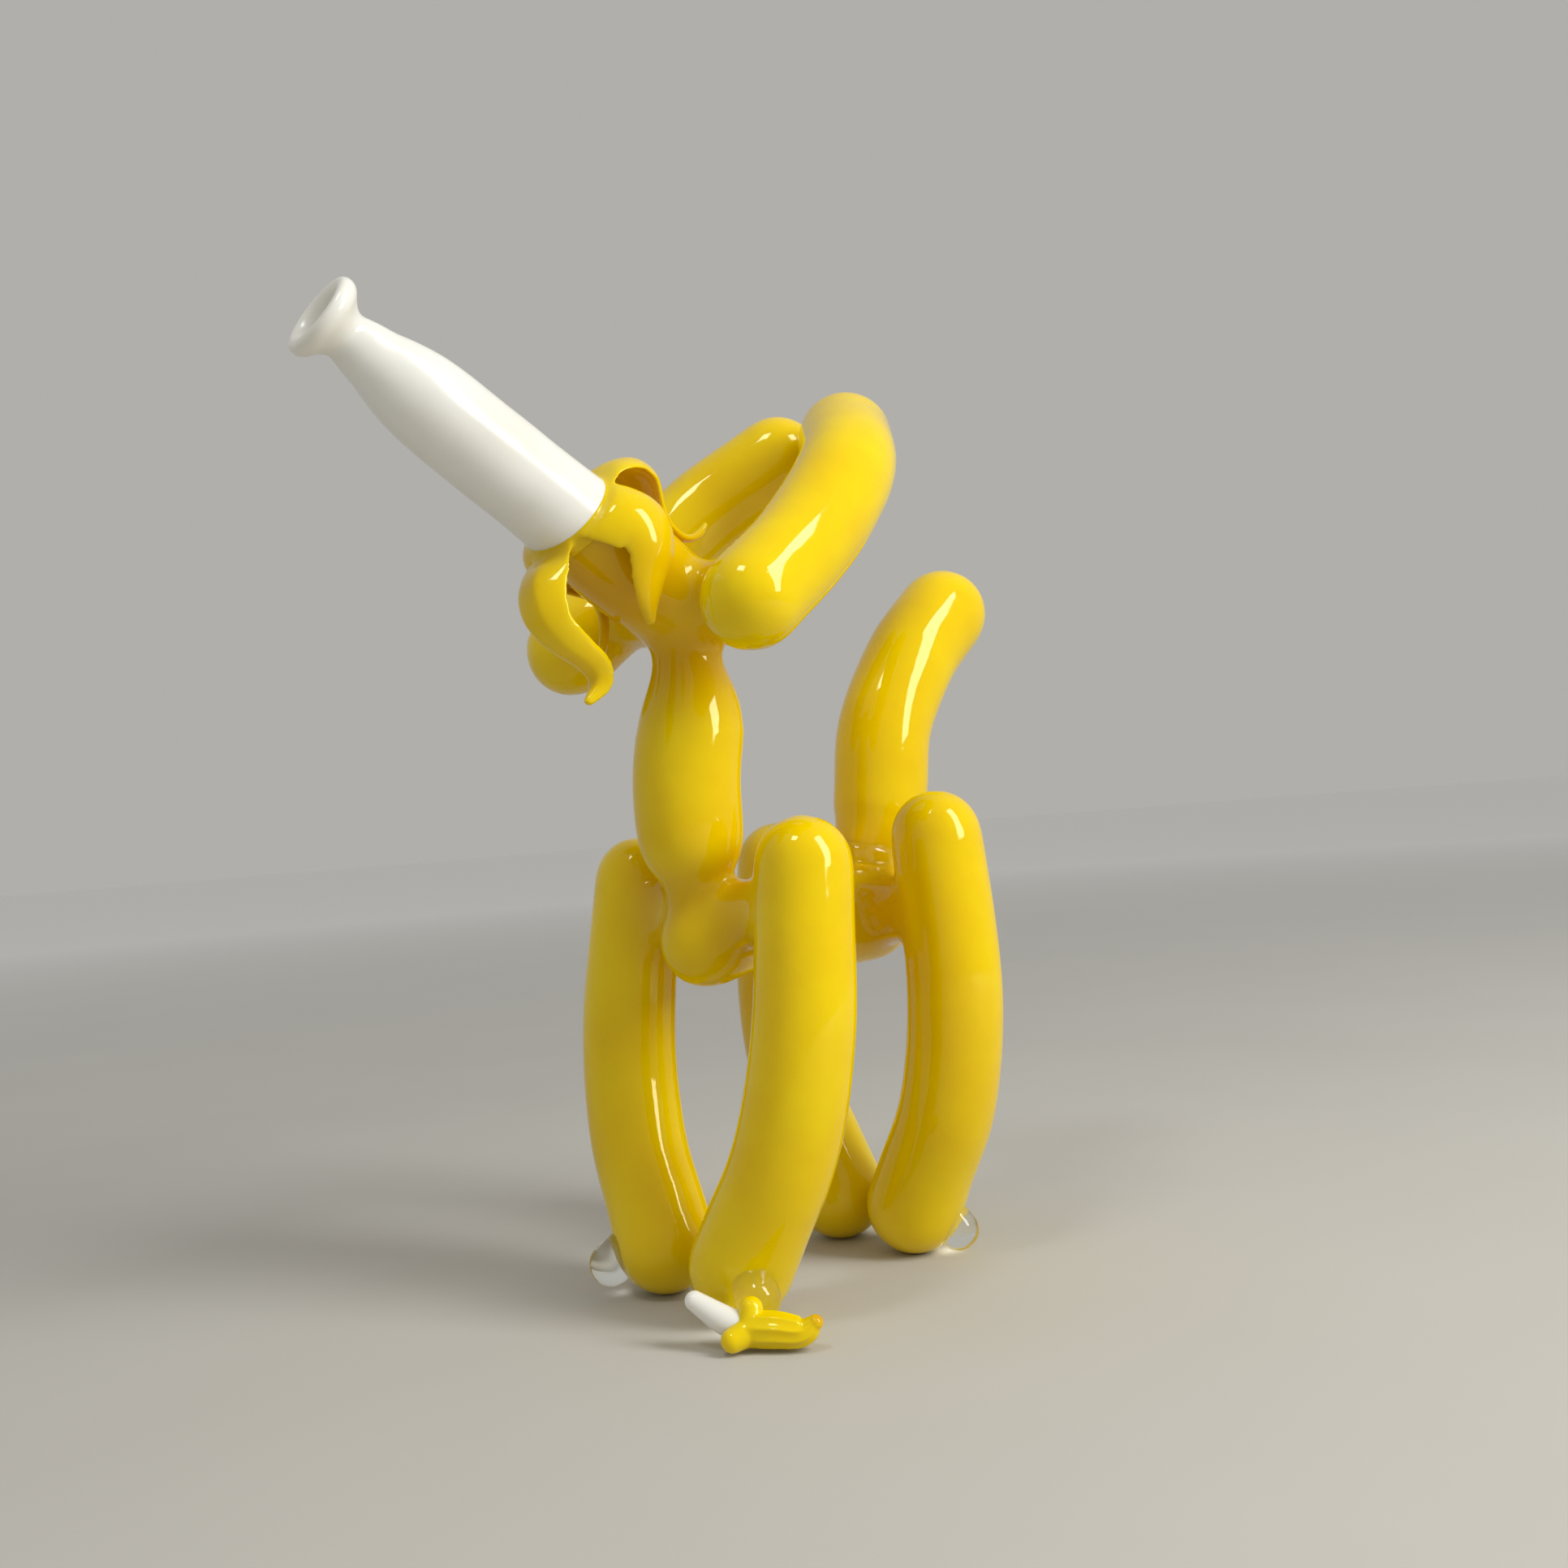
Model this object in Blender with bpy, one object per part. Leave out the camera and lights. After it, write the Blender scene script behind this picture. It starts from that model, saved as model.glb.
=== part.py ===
"""A balloon dog blown in yellow glass, with an open white snout set in a half-peeled skin.

Metres, +Z up. The dog faces -Y, its left side is +X, and its four feet stand on Z = 0.
The names front, rear, left and right are the dog's own.
"""
import math
from itertools import pairwise

import bmesh
import bpy
from mathutils import Matrix, Vector

MM = 0.001

# Facets of the round glass
TUBE_SIDES = 16
SMALL_SIDES = 10
SNOUT_SIDES = 20
SPAN_STEPS = 8
END_STEPS = 3

# Clearance between two pieces of glass that are sealed together
SEAL_GAP = 0.3 * MM

# Torso: one bubble along Y, with round ends
TORSO_RADIUS = 11.0 * MM
TORSO_LENGTH = 54.0 * MM
TORSO_DROP = 16.0 * MM

# Legs: bowed tubes whose round tops stand above the torso and whose feet come together
LEG_TOP_HEIGHT = 98.5 * MM
LEG_TOP_RADIUS = 11.0 * MM
LEG_RADIUS = 11.5 * MM
FOOT_RADIUS = 11.9 * MM
FOOT_FLAT = 0.5 * MM
LEG_BOW = ((0.0, 0.0), (0.1, 0.30), (0.3, 0.87), (0.6, 1.15), (1.0, 1.0))
FRONT_SPREAD = 30.3 * MM
FRONT_FOOT_SPREAD = 15.2 * MM
FRONT_SETBACK = 4.4 * MM
REAR_SPREAD = 29.0 * MM
REAR_FOOT_SPREAD = 13.0 * MM
REAR_SETBACK = 3.4 * MM

# No two legs are alike: how much higher each stands, and how far its foot steps forward
LEG_RISE = {"front_left": 0.8 * MM, "front_right": -1.4 * MM, "rear_left": 4.4 * MM, "rear_right": -0.4 * MM}
LEG_STEP = {"front_left": 14.0 * MM, "front_right": 11.4 * MM, "rear_left": 1.2 * MM, "rear_right": 1.7 * MM}

# Hips and shoulders: short waists that seal each leg to the torso
HIP_RISE = 3.5 * MM
HIP_RADIUS = 9.2 * MM
HIP_WAIST_RADIUS = 7.6 * MM

# Neck: a long bubble between two pinches
NECK_LENGTH = 59.5 * MM
NECK_RADIUS = 12.6 * MM
NECK_PINCH_RADIUS = 7.2 * MM
NECK_SWELL = (0.0, 0.05, 0.85, 1.0, 1.0, 1.0, 0.9, 0.38, 0.0)
NECK_SWAY = (-1.0 * MM, -2.2 * MM, -2.4 * MM, 0.7 * MM, 0.0)

# Head: a straight bubble on the snout's axis, which rises towards the mouth
HEAD_TILT = math.radians(32.5)
HEAD_LENGTH = 40.0 * MM
HEAD_RADIUS = 12.2 * MM
HEAD_BACK_RADIUS = 11.3 * MM
HEAD_RISE = 6.6 * MM
HEAD_SETBACK = 2.0 * MM

# Ears: two long bent bubbles, as far out as their lobes and as far back and up as their tips
EAR_SPREAD = 34.1 * MM
EAR_REACH = 44.4 * MM
EAR_RISE = 43.9 * MM
EAR_RADIUS = 11.7 * MM
EAR_LOBE_RADIUS = 11.3 * MM
EAR_LOBE_RISE = {"left": 0.9 * MM, "right": -1.0 * MM}
EAR_ROOT_SHARE = 0.17
EAR_ROOT_RADIUS = 9.6 * MM
EAR_WAIST_RADIUS = 8.2 * MM

# From lobe to tip, in hundredths of the spread, the reach and the rise, from the middle of the head's back end
EAR_PATH = ((100, -23, -7), (94, 25, 32), (80, 64, 70), (37, 100, 100))

# Tail: a bubble that stands up from the rump and leans back
TAIL_RADIUS = 12.2 * MM
TAIL_PINCH_RADIUS = 6.8 * MM
TAIL_LEAN = math.radians(25.0)
TAIL_REACH = 38.2 * MM
TAIL_RISE = 80.3 * MM
TAIL_RING_RADIUS = 8.0 * MM
TAIL_RING_THICKNESS = 5.6 * MM

# From the pinch to the tip, in hundredths of the tail's reach back and of its rise
TAIL_PATH = ((3, 18), (16, 28), (23, 43), (31, 62), (64, 85), (100, 100))

# Snout: an open tube with a flared mouth, as long as from the head to the rim
SNOUT_LENGTH = 66.5 * MM
SNOUT_RADIUS = 10.8 * MM
SNOUT_SHOULDER_RADIUS = 9.95 * MM
SNOUT_WALL = 2.4 * MM
SNOUT_NECK_RADIUS = 5.5 * MM
SNOUT_NECK_WALL = 2.0 * MM
SNOUT_NECK_DEPTH = 7.4 * MM
SNOUT_SHOULDER_DEPTH = 30.0 * MM
MOUTH_RADIUS = 9.3 * MM
MOUTH_LIP = 3.0 * MM

# Peel: a short skirt round the head's front rim, and five thin arched strips of skin that spring from it
SKIRT_RADIUS = 12.5 * MM
SKIRT_EDGE_RADIUS = 11.2 * MM
SKIRT_START = 0.4 * MM
SKIRT_LENGTH = 4.4 * MM
PEEL_REACH = 33.0 * MM
PEEL_WIDTH = 14.0 * MM
PEEL_THICKNESS = 2.0 * MM
PEEL_ARCH = 0.16
PEEL_ROOT_SETBACK = 2.3 * MM
PEEL_ROWS = 10

# Where each strip springs from, in degrees from the top of the head towards its left
PEEL_ANGLE = {"top": 32.0, "left": 90.0, "lower_left": 170.0, "lower_right": 231.0, "right": 299.0}

# How each strip runs on, in hundredths of the reach: back along the head, up from it and out to its left
PEEL_PATH = {
    "top": ((13, 47, 7), (25, 58, 6), (40, 60, 6), (55, 52, 6), (67, 45, 7), (83, 42, 8), (95, 48, 9),
            (98, 62, 9)),
    "left": ((13, 3, 43), (26, 5, 51), (39, -1, 55), (50, -17, 54), (59, -36, 49), (71, -52, 45)),
    "lower_left": ((4, -42, 8), (3, -61, 14), (10, -79, 20), (28, -89, 23), (48, -91, 24), (63, -96, 24),
                   (62, -115, 24)),
    "lower_right": ((8, -29, -36), (30, -24, -41), (59, -15, -42), (78, -20, -41), (87, -39, -37),
                    (90, -61, -33)),
    "right": ((10, 37, -36), (25, 48, -42), (44, 37, -52), (59, 15, -56), (68, -3, -52)),
}

# How wide each strip is from root to tip, in hundredths of the usual width
PEEL_TAPER = {
    "top": (104, 95, 89, 84, 70, 44, 29, 21, 12),
    "left": (118, 118, 116, 107, 83, 52, 14),
    "lower_left": (93, 99, 97, 88, 73, 60, 48, 14),
    "lower_right": (89, 84, 70, 46, 30, 24, 14),
    "right": (104, 110, 100, 75, 44, 14),
}

# Once round a strip's section: shares of half its width, and of its thickness above or below its middle
PEEL_SECTION = ((-1.0, 0.0), (-0.6, 0.5), (0.0, 0.5), (0.6, 0.5),
                (1.0, 0.0), (0.6, -0.5), (0.0, -0.5), (-0.6, -0.5))

# Clear drops on the outer corner of each foot: the way each faces, and how far out its round end is
DROP_RADIUS = 5.3 * MM
DROP_ROOT_RADIUS = 4.4 * MM
DROP_ROOT_RISE = 6.5 * MM
DROP_HEIGHT = {"front_left": 8.0 * MM, "front_right": 7.8 * MM, "rear_left": 5.6 * MM, "rear_right": 5.7 * MM}
DROP_TURN = {"front_left": -26.0, "front_right": -127.0, "rear_left": 28.0, "rear_right": 136.0}
DROP_REACH = {"front_left": 12.6 * MM, "front_right": 13.2 * MM, "rear_left": 10.6 * MM, "rear_right": 11.0 * MM}

# Charm: a small half-peeled fruit that hangs on the left front drop, clear of the floor
CHARM_TURN = math.radians(32.0)
CHARM_REACH = 8.6 * MM
CHARM_OFFSET = 0.8 * MM
CHARM_FLOOR_GAP = 0.3 * MM
CHARM_SKIN_LENGTH = 14.0 * MM
CHARM_SKIN_RADIUS = 3.8 * MM
CHARM_SKIN_SAG = 0.2 * MM
CHARM_STALK_RADIUS = 1.6 * MM
CHARM_STALK_LIFT = 1.6 * MM
CHARM_FRUIT_LENGTH = 12.0 * MM
CHARM_FRUIT_RADIUS = 3.0 * MM
CHARM_FRUIT_RISE = 5.8 * MM
CHARM_FRUIT_BOW = 0.35
CHARM_FRUIT_TAPER = (0.9, 1.0, 0.7)
CHARM_FLAP_RADIUS = 2.8 * MM
CHARM_FLAP_RISE = 4.4 * MM
CHARM_FLAP_LEAN = 1.0 * MM
CHARM_FLAP_SPREAD = 3.0 * MM
CHARM_FLAP_REACH = 3.4 * MM

# Radii along the tubes, from start to end, and how finely each tube is drawn
LEG_RADII = [FOOT_RADIUS, LEG_RADIUS, LEG_RADIUS, LEG_TOP_RADIUS]
LEG_STEPS = 8
TAIL_RADII = [TAIL_PINCH_RADIUS, TAIL_PINCH_RADIUS, TAIL_RADIUS * 0.93] + [TAIL_RADIUS] * 4
TAIL_STEPS = 13
DROP_RADII = [DROP_ROOT_RADIUS, DROP_RADIUS, DROP_RADIUS]
DROP_SIDES = 12
DROP_STEPS = 5
WAIST_STEPS = 6
SKIRT_STEPS = 4
CHARM_STEPS = 6
FLAP_STEPS = 3

YELLOW = (0.83, 0.62, 0.0, 1.0)
WHITE = (0.86, 0.85, 0.80, 1.0)
CLEAR = (0.93, 0.95, 0.92, 1.0)


def clear_scene():
    """Remove what the scene starts with."""
    for leftover in list(bpy.data.objects):
        bpy.data.objects.remove(leftover)


def glass(name, colour, roughness=0.06, transmission=0.0):
    """Make a glossy glass material."""
    material = bpy.data.materials.new(name)
    material.use_nodes = True
    shader = material.node_tree.nodes["Principled BSDF"]
    shader.inputs["Base Color"].default_value = colour
    shader.inputs["Roughness"].default_value = roughness
    shader.inputs["Metallic"].default_value = 0.0
    shader.inputs["Transmission Weight"].default_value = transmission
    return material


def spline(points, share):
    """Find the point at a share, 0 to 1, of a smooth curve through some points."""
    steps = len(points) - 1
    place = min(share * steps, steps - 1e-9)
    index = int(place)
    t = place - index
    b = points[index]
    c = points[index + 1]
    a = points[index - 1] if index > 0 else b * 2 - c
    d = points[index + 2] if index + 2 <= steps else c * 2 - b
    return 0.5 * (b * 2 + (c - a) * t + (a * 2 - b * 5 + c * 4 - d) * t**2 + (b * 3 - a - c * 3 + d) * t**3)


def blend(values, share):
    """Read a number at a share, 0 to 1, of a row of evenly spaced numbers."""
    row = [Vector((value, 0.0, 0.0)) for value in values]
    return spline(row, share).x


def tube_rings(points, radii, steps, round_start, round_end):
    """List the centre and radius of each ring along a tube, with its round ends."""
    span = [(spline(points, i / steps), blend(radii, i / steps)) for i in range(steps + 1)]
    turns = [math.radians(90.0 * (i + 0.5) / (END_STEPS + 0.5)) for i in range(END_STEPS)]
    start, start_radius = span[0]
    end, end_radius = span[-1]
    back = (start - span[1][0]).normalized()
    ahead = (end - span[-2][0]).normalized()
    head = [(start + back * start_radius * math.cos(turn), start_radius * math.sin(turn)) for turn in turns]
    tail = [(end + ahead * end_radius * math.cos(turn), end_radius * math.sin(turn)) for turn in reversed(turns)]
    return (head if round_start else []) + span + (tail if round_end else [])


def new_object(name, bm, material):
    """Turn a finished bmesh into a smooth-shaded object."""
    bmesh.ops.recalc_face_normals(bm, faces=bm.faces)
    mesh = bpy.data.meshes.new(name)
    bm.to_mesh(mesh)
    bm.free()
    mesh.shade_smooth()
    mesh.set_sharp_from_angle(angle=math.radians(50.0))
    mesh.materials.append(material)
    new = bpy.data.objects.new(name, mesh)
    bpy.context.scene.collection.objects.link(new)
    return new


def tube(name, points, radii, material, sides=TUBE_SIDES, steps=SPAN_STEPS, round_start=True, round_end=True):
    """Draw a tube of changing radius along a smooth curve through some points."""
    rings = tube_rings(points, radii, steps, round_start, round_end)
    bm = bmesh.new()
    bmesh.ops.create_circle(bm, cap_ends=True, segments=sides, radius=1.0)
    bm.faces.ensure_lookup_table()
    cap = bm.faces[0]
    turn = (rings[1][0] - rings[0][0]).to_track_quat("Z", "Y")
    last = Matrix.Identity(4)
    for index, (centre, radius) in enumerate(rings):
        before = rings[max(index - 1, 0)][0]
        after = rings[min(index + 1, len(rings) - 1)][0]
        forward = turn @ Vector((0.0, 0.0, 1.0))
        turn = forward.rotation_difference(after - before) @ turn
        place = Matrix.Translation(centre) @ turn.to_matrix().to_4x4() @ Matrix.Scale(radius, 4)
        if index > 0:
            cap = bmesh.ops.extrude_discrete_faces(bm, faces=[cap])["faces"][0]
        bmesh.ops.transform(bm, matrix=place @ last.inverted(), verts=cap.verts)
        last = place
    bmesh.ops.holes_fill(bm, edges=bm.edges, sides=sides)
    return new_object(name, bm, material)


def swollen(radii):
    """Widen a tube's radii, to cut its neighbour clear of it."""
    return [radius + SEAL_GAP for radius in radii]


def hide_cutter(cutter):
    """Keep an object as a building aid only."""
    cutter.hide_render = True
    cutter.display_type = "WIRE"
    return cutter


def boolean(target, other, operation):
    """Join another object to the target, or cut the target with it."""
    step = target.modifiers.new(operation.title() + " " + other.name, "BOOLEAN")
    step.operation = operation
    step.object = hide_cutter(other)
    step.solver = "EXACT"


def leg_path(name, side, top_y, spread, foot_spread):
    """Give the points of one leg's centre line, from its foot to its top."""
    foot_height = FOOT_RADIUS - FOOT_FLAT
    top_height = LEG_TOP_HEIGHT + LEG_RISE[name]
    path = []
    for height_share, spread_share in LEG_BOW:
        x = foot_spread + (spread - foot_spread) * spread_share
        y = top_y - LEG_STEP[name] * (1.0 - height_share)
        z = foot_height + (top_height - foot_height) * height_share
        path.append(Vector((side * x, y, z)))
    return path


def at_height(path, height):
    """Find the point of a rising curve at one height."""
    low = 0.0
    high = 1.0
    for _ in range(30):
        middle = (low + high) / 2
        if spline(path, middle).z < height:
            low = middle
        else:
            high = middle
    return spline(path, low)


class Peel:
    """Builds the skirt and the strips of skin around the head's front rim."""

    def __init__(self, rim, back, up, material):
        self.rim = rim
        self.back = back
        self.up = up
        self.side = Vector((1.0, 0.0, 0.0))
        self.material = material

    def skirt(self):
        """Draw the short swollen skirt from which the strips spring."""
        start = self.rim + self.back * SKIRT_START
        end = start + self.back * SKIRT_LENGTH
        radii = [SKIRT_EDGE_RADIUS, SKIRT_RADIUS, SKIRT_EDGE_RADIUS]
        return tube("peel_skirt", [start, (start + end) / 2, end], radii, self.material, steps=SKIRT_STEPS,
                    round_start=False, round_end=False)

    def place(self, along):
        """Turn hundredths of the reach back, up and sideways from the rim's centre into a point."""
        back, up, side = along
        return self.rim + (self.back * back + self.up * up + self.side * side) * PEEL_REACH / 100

    def strip(self, name):
        """Sweep one thin arched strip from its root on the skirt along its path."""
        turn = math.radians(PEEL_ANGLE[name])
        outward = self.up * math.cos(turn) + self.side * math.sin(turn)
        across = self.side * math.cos(turn) - self.up * math.sin(turn)
        points = [self.rim + outward * SKIRT_EDGE_RADIUS + self.back * PEEL_ROOT_SETBACK]
        points += [self.place(along) for along in PEEL_PATH[name]]
        bm = bmesh.new()
        rings = []
        for row in range(PEEL_ROWS + 1):
            share = row / PEEL_ROWS
            centre = spline(points, share)
            run = (spline(points, min(share + 0.02, 1.0)) - spline(points, max(share - 0.02, 0.0))).normalized()
            across = (across - run * across.dot(run)).normalized()
            normal = across.cross(run)
            width = blend(PEEL_TAPER[name], share) * PEEL_WIDTH / 100
            thickness = min(PEEL_THICKNESS, width)
            ring = []
            for t, lift in PEEL_SECTION:
                rise = thickness * lift - width * PEEL_ARCH * t * t
                ring.append(bm.verts.new(centre + across * width / 2 * t + normal * rise))
            rings.append(ring)
        for before, after in pairwise(rings):
            for index in range(len(PEEL_SECTION)):
                bm.faces.new((before[index - 1], before[index], after[index], after[index - 1]))
        bm.faces.new(rings[0])
        bm.faces.new(rings[-1])
        return new_object("peel_" + name, bm, self.material)


def lathe(name, outline, material, sides):
    """Spin a closed outline of (radius, height) pairs once around Z."""
    bm = bmesh.new()
    ring = [bm.verts.new((radius, 0.0, height)) for radius, height in outline]
    for a, b in pairwise(ring + ring[:1]):
        bm.edges.new((a, b))
    bmesh.ops.spin(bm, geom=list(bm.edges), axis=(0.0, 0.0, 1.0), cent=(0.0, 0.0, 0.0),
                   angle=math.tau, steps=sides, use_merge=True)
    return new_object(name, bm, material)


def belly(share):
    """Rise from 0 to 1 along the snout's swelling, from its neck to its full width."""
    return (1.0 - math.cos(math.pi * share)) / 4 + math.sin(math.pi * share / 2) / 2


def snout_outline():
    """Give the snout's wall as a closed outline: heights run from the mouth to the seat."""
    neck = SNOUT_NECK_DEPTH
    shoulder = SNOUT_SHOULDER_DEPTH
    run = shoulder - neck
    outer = [
        (MOUTH_RADIUS - MOUTH_LIP * 0.55, 0.0),
        (MOUTH_RADIUS - MOUTH_LIP * 0.15, MOUTH_LIP * 0.25),
        (MOUTH_RADIUS, MOUTH_LIP * 0.7),
        (MOUTH_RADIUS - MOUTH_LIP * 0.25, MOUTH_LIP * 1.15),
        (SNOUT_NECK_RADIUS + MOUTH_LIP * 0.25, neck - MOUTH_LIP * 0.45),
        (SNOUT_NECK_RADIUS, neck),
    ]
    for share in (0.2, 0.4, 0.6, 0.8, 1.0):
        swell = (SNOUT_SHOULDER_RADIUS - SNOUT_NECK_RADIUS) * belly(share)
        outer.append((SNOUT_NECK_RADIUS + swell, neck + run * share))
    outer.append(((SNOUT_SHOULDER_RADIUS + SNOUT_RADIUS) / 2, (shoulder + SNOUT_LENGTH) / 2))
    outer.append((SNOUT_RADIUS, SNOUT_LENGTH))
    bore = SNOUT_NECK_RADIUS - SNOUT_NECK_WALL
    chamber = SNOUT_SHOULDER_RADIUS - SNOUT_WALL
    inner = [(SNOUT_RADIUS - SNOUT_WALL, SNOUT_LENGTH), (chamber, shoulder)]
    for share in (0.75, 0.5, 0.25):
        inner.append((bore + (chamber - bore) * belly(share), neck + run * share))
    inner.append((bore, neck))
    inner.append((bore + MOUTH_LIP * 0.35, neck - MOUTH_LIP * 0.9))
    inner.append((MOUTH_RADIUS - MOUTH_LIP, MOUTH_LIP * 0.35))
    return outer + inner


def build_body(yellow):
    """Blow the torso, legs, neck, head, ears and tail, and seal them into one piece."""
    torso_height = LEG_TOP_HEIGHT - TORSO_DROP
    chest = Vector((0.0, -TORSO_LENGTH / 2, torso_height))
    rump = Vector((0.0, TORSO_LENGTH / 2, torso_height))
    body = tube("dog_body", [chest, (chest + rump) / 2, rump], [TORSO_RADIUS] * 3, yellow)

    legs = {}
    for side, side_name in ((1, "left"), (-1, "right")):
        legs["front_" + side_name] = leg_path("front_" + side_name, side, chest.y + FRONT_SETBACK,
                                              FRONT_SPREAD, FRONT_FOOT_SPREAD)
        legs["rear_" + side_name] = leg_path("rear_" + side_name, side, rump.y - REAR_SETBACK,
                                             REAR_SPREAD, REAR_FOOT_SPREAD)
    for name, path in legs.items():
        leg = tube("leg_" + name, path, LEG_RADII, yellow, steps=LEG_STEPS)
        boolean(body, leg, "UNION")
        joint = at_height(path, torso_height + HIP_RISE)
        inside = Vector((0.0, joint.y, torso_height + HIP_RISE / 2))
        hip = tube("hip_" + name, [inside, (inside + joint) / 2, joint],
                   [HIP_RADIUS, HIP_WAIST_RADIUS, HIP_RADIUS], yellow, steps=WAIST_STEPS,
                   round_start=False, round_end=False)
        boolean(body, hip, "UNION")

    neck_foot = chest.z + TORSO_RADIUS / 2
    neck_rise = TORSO_RADIUS / 2 + NECK_LENGTH
    neck_points = []
    for index, sway in enumerate(NECK_SWAY):
        height = neck_foot + neck_rise * index / (len(NECK_SWAY) - 1)
        neck_points.append(Vector((0.0, chest.y + sway, height)))
    neck_radii = [NECK_PINCH_RADIUS + (NECK_RADIUS - NECK_PINCH_RADIUS) * swell for swell in NECK_SWELL]
    neck = tube("neck", neck_points, neck_radii, yellow, steps=SPAN_STEPS + 4,
                round_start=False, round_end=False)
    boolean(body, neck, "UNION")

    forward = Vector((0.0, -math.cos(HEAD_TILT), math.sin(HEAD_TILT)))
    head_back = neck_points[-1] + Vector((0.0, HEAD_SETBACK, HEAD_RISE))
    seat = head_back + forward * HEAD_LENGTH
    head = tube("head", [head_back, (head_back + seat) / 2, seat],
                [HEAD_BACK_RADIUS, HEAD_RADIUS, HEAD_RADIUS, SNOUT_RADIUS], yellow, round_end=False)
    boolean(body, head, "UNION")

    for side, side_name in ((1, "left"), (-1, "right")):
        ear_path = []
        for spread, reach, rise in EAR_PATH:
            step = Vector((side * EAR_SPREAD * spread, EAR_REACH * reach, EAR_RISE * rise)) / 100
            ear_path.append(head_back + step)
        ear_path[0].z += EAR_LOBE_RISE[side_name]
        ear = tube("ear_" + side_name, ear_path, [EAR_LOBE_RADIUS, EAR_RADIUS, EAR_RADIUS], yellow)
        boolean(body, ear, "UNION")
        joint = spline(ear_path, EAR_ROOT_SHARE)
        root = tube("ear_root_" + side_name, [head_back, (head_back + joint) / 2, joint],
                    [EAR_ROOT_RADIUS, EAR_WAIST_RADIUS, EAR_ROOT_RADIUS], yellow, steps=WAIST_STEPS,
                    round_start=False, round_end=False)
        boolean(body, root, "UNION")

    tail = tube("tail", tail_points(rump), TAIL_RADII, yellow, steps=TAIL_STEPS, round_start=False)
    boolean(body, tail, "UNION")

    peel = Peel(seat, -forward, Vector((0.0, math.sin(HEAD_TILT), math.cos(HEAD_TILT))), yellow)
    boolean(body, peel.skirt(), "UNION")
    for name in PEEL_PATH:
        boolean(body, peel.strip(name), "UNION")

    floor = bmesh.new()
    reach = LEG_TOP_HEIGHT * 2
    bmesh.ops.create_cube(floor, size=reach, matrix=Matrix.Translation((0.0, 0.0, -reach / 2)))
    boolean(body, new_object("floor_cutter", floor, yellow), "DIFFERENCE")
    return body, legs, chest, rump, seat, forward


def tail_points(rump):
    """Give the points of the tail's centre line, from inside the rump to its round tip."""
    return [rump] + [rump + Vector((0.0, TAIL_REACH * back, TAIL_RISE * up)) / 100 for back, up in TAIL_PATH]


def build_snout(seat, forward, white):
    """Spin the open snout and seat it against the flat front of the head."""
    snout = lathe("snout", snout_outline(), white, SNOUT_SIDES)
    mouth = seat + forward * (SNOUT_LENGTH + SEAL_GAP)
    snout.matrix_world = Matrix.Translation(mouth) @ (-forward).to_track_quat("Z", "X").to_matrix().to_4x4()
    return snout


def build_tail_ring(chest, rump, clear):
    """Lay a clear ring around the pinch under the tail, cut to fit the glass that it clasps."""
    half = TAIL_RING_THICKNESS / 2
    outline = []
    for index in range(SMALL_SIDES):
        turn = math.tau * index / SMALL_SIDES
        outline.append((TAIL_RING_RADIUS + half * math.cos(turn), half * math.sin(turn)))
    ring = lathe("tail_ring", outline, clear, TUBE_SIDES)
    lean = Matrix.Rotation(-TAIL_LEAN, 4, "X")
    ring.matrix_world = Matrix.Translation(tail_points(rump)[1]) @ lean
    boolean(ring, tube("tail_clearance", tail_points(rump), swollen(TAIL_RADII), clear,
                       steps=TAIL_STEPS, round_start=False), "DIFFERENCE")
    torso = [chest, (chest + rump) / 2, rump]
    boolean(ring, tube("torso_clearance", torso, swollen([TORSO_RADIUS] * 3), clear), "DIFFERENCE")
    return ring


def drop_points(name, foot):
    """Give a drop's centre line, from high inside its foot to its round end low outside."""
    turn = math.radians(DROP_TURN[name])
    root = foot + Vector((0.0, 0.0, DROP_ROOT_RISE))
    end = foot + Vector((math.cos(turn), math.sin(turn), 0.0)) * DROP_REACH[name]
    end.z = DROP_HEIGHT[name]
    return [root, (root + end) / 2, end]


def build_drop(name, leg, clear):
    """Melt a clear drop onto the outer corner of one foot."""
    drop = tube("drop_" + name, drop_points(name, leg[0]), DROP_RADII, clear, sides=DROP_SIDES, steps=DROP_STEPS)
    boolean(drop, tube("foot_clearance_" + name, leg, swollen(LEG_RADII), clear, steps=LEG_STEPS), "DIFFERENCE")
    return drop


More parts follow.
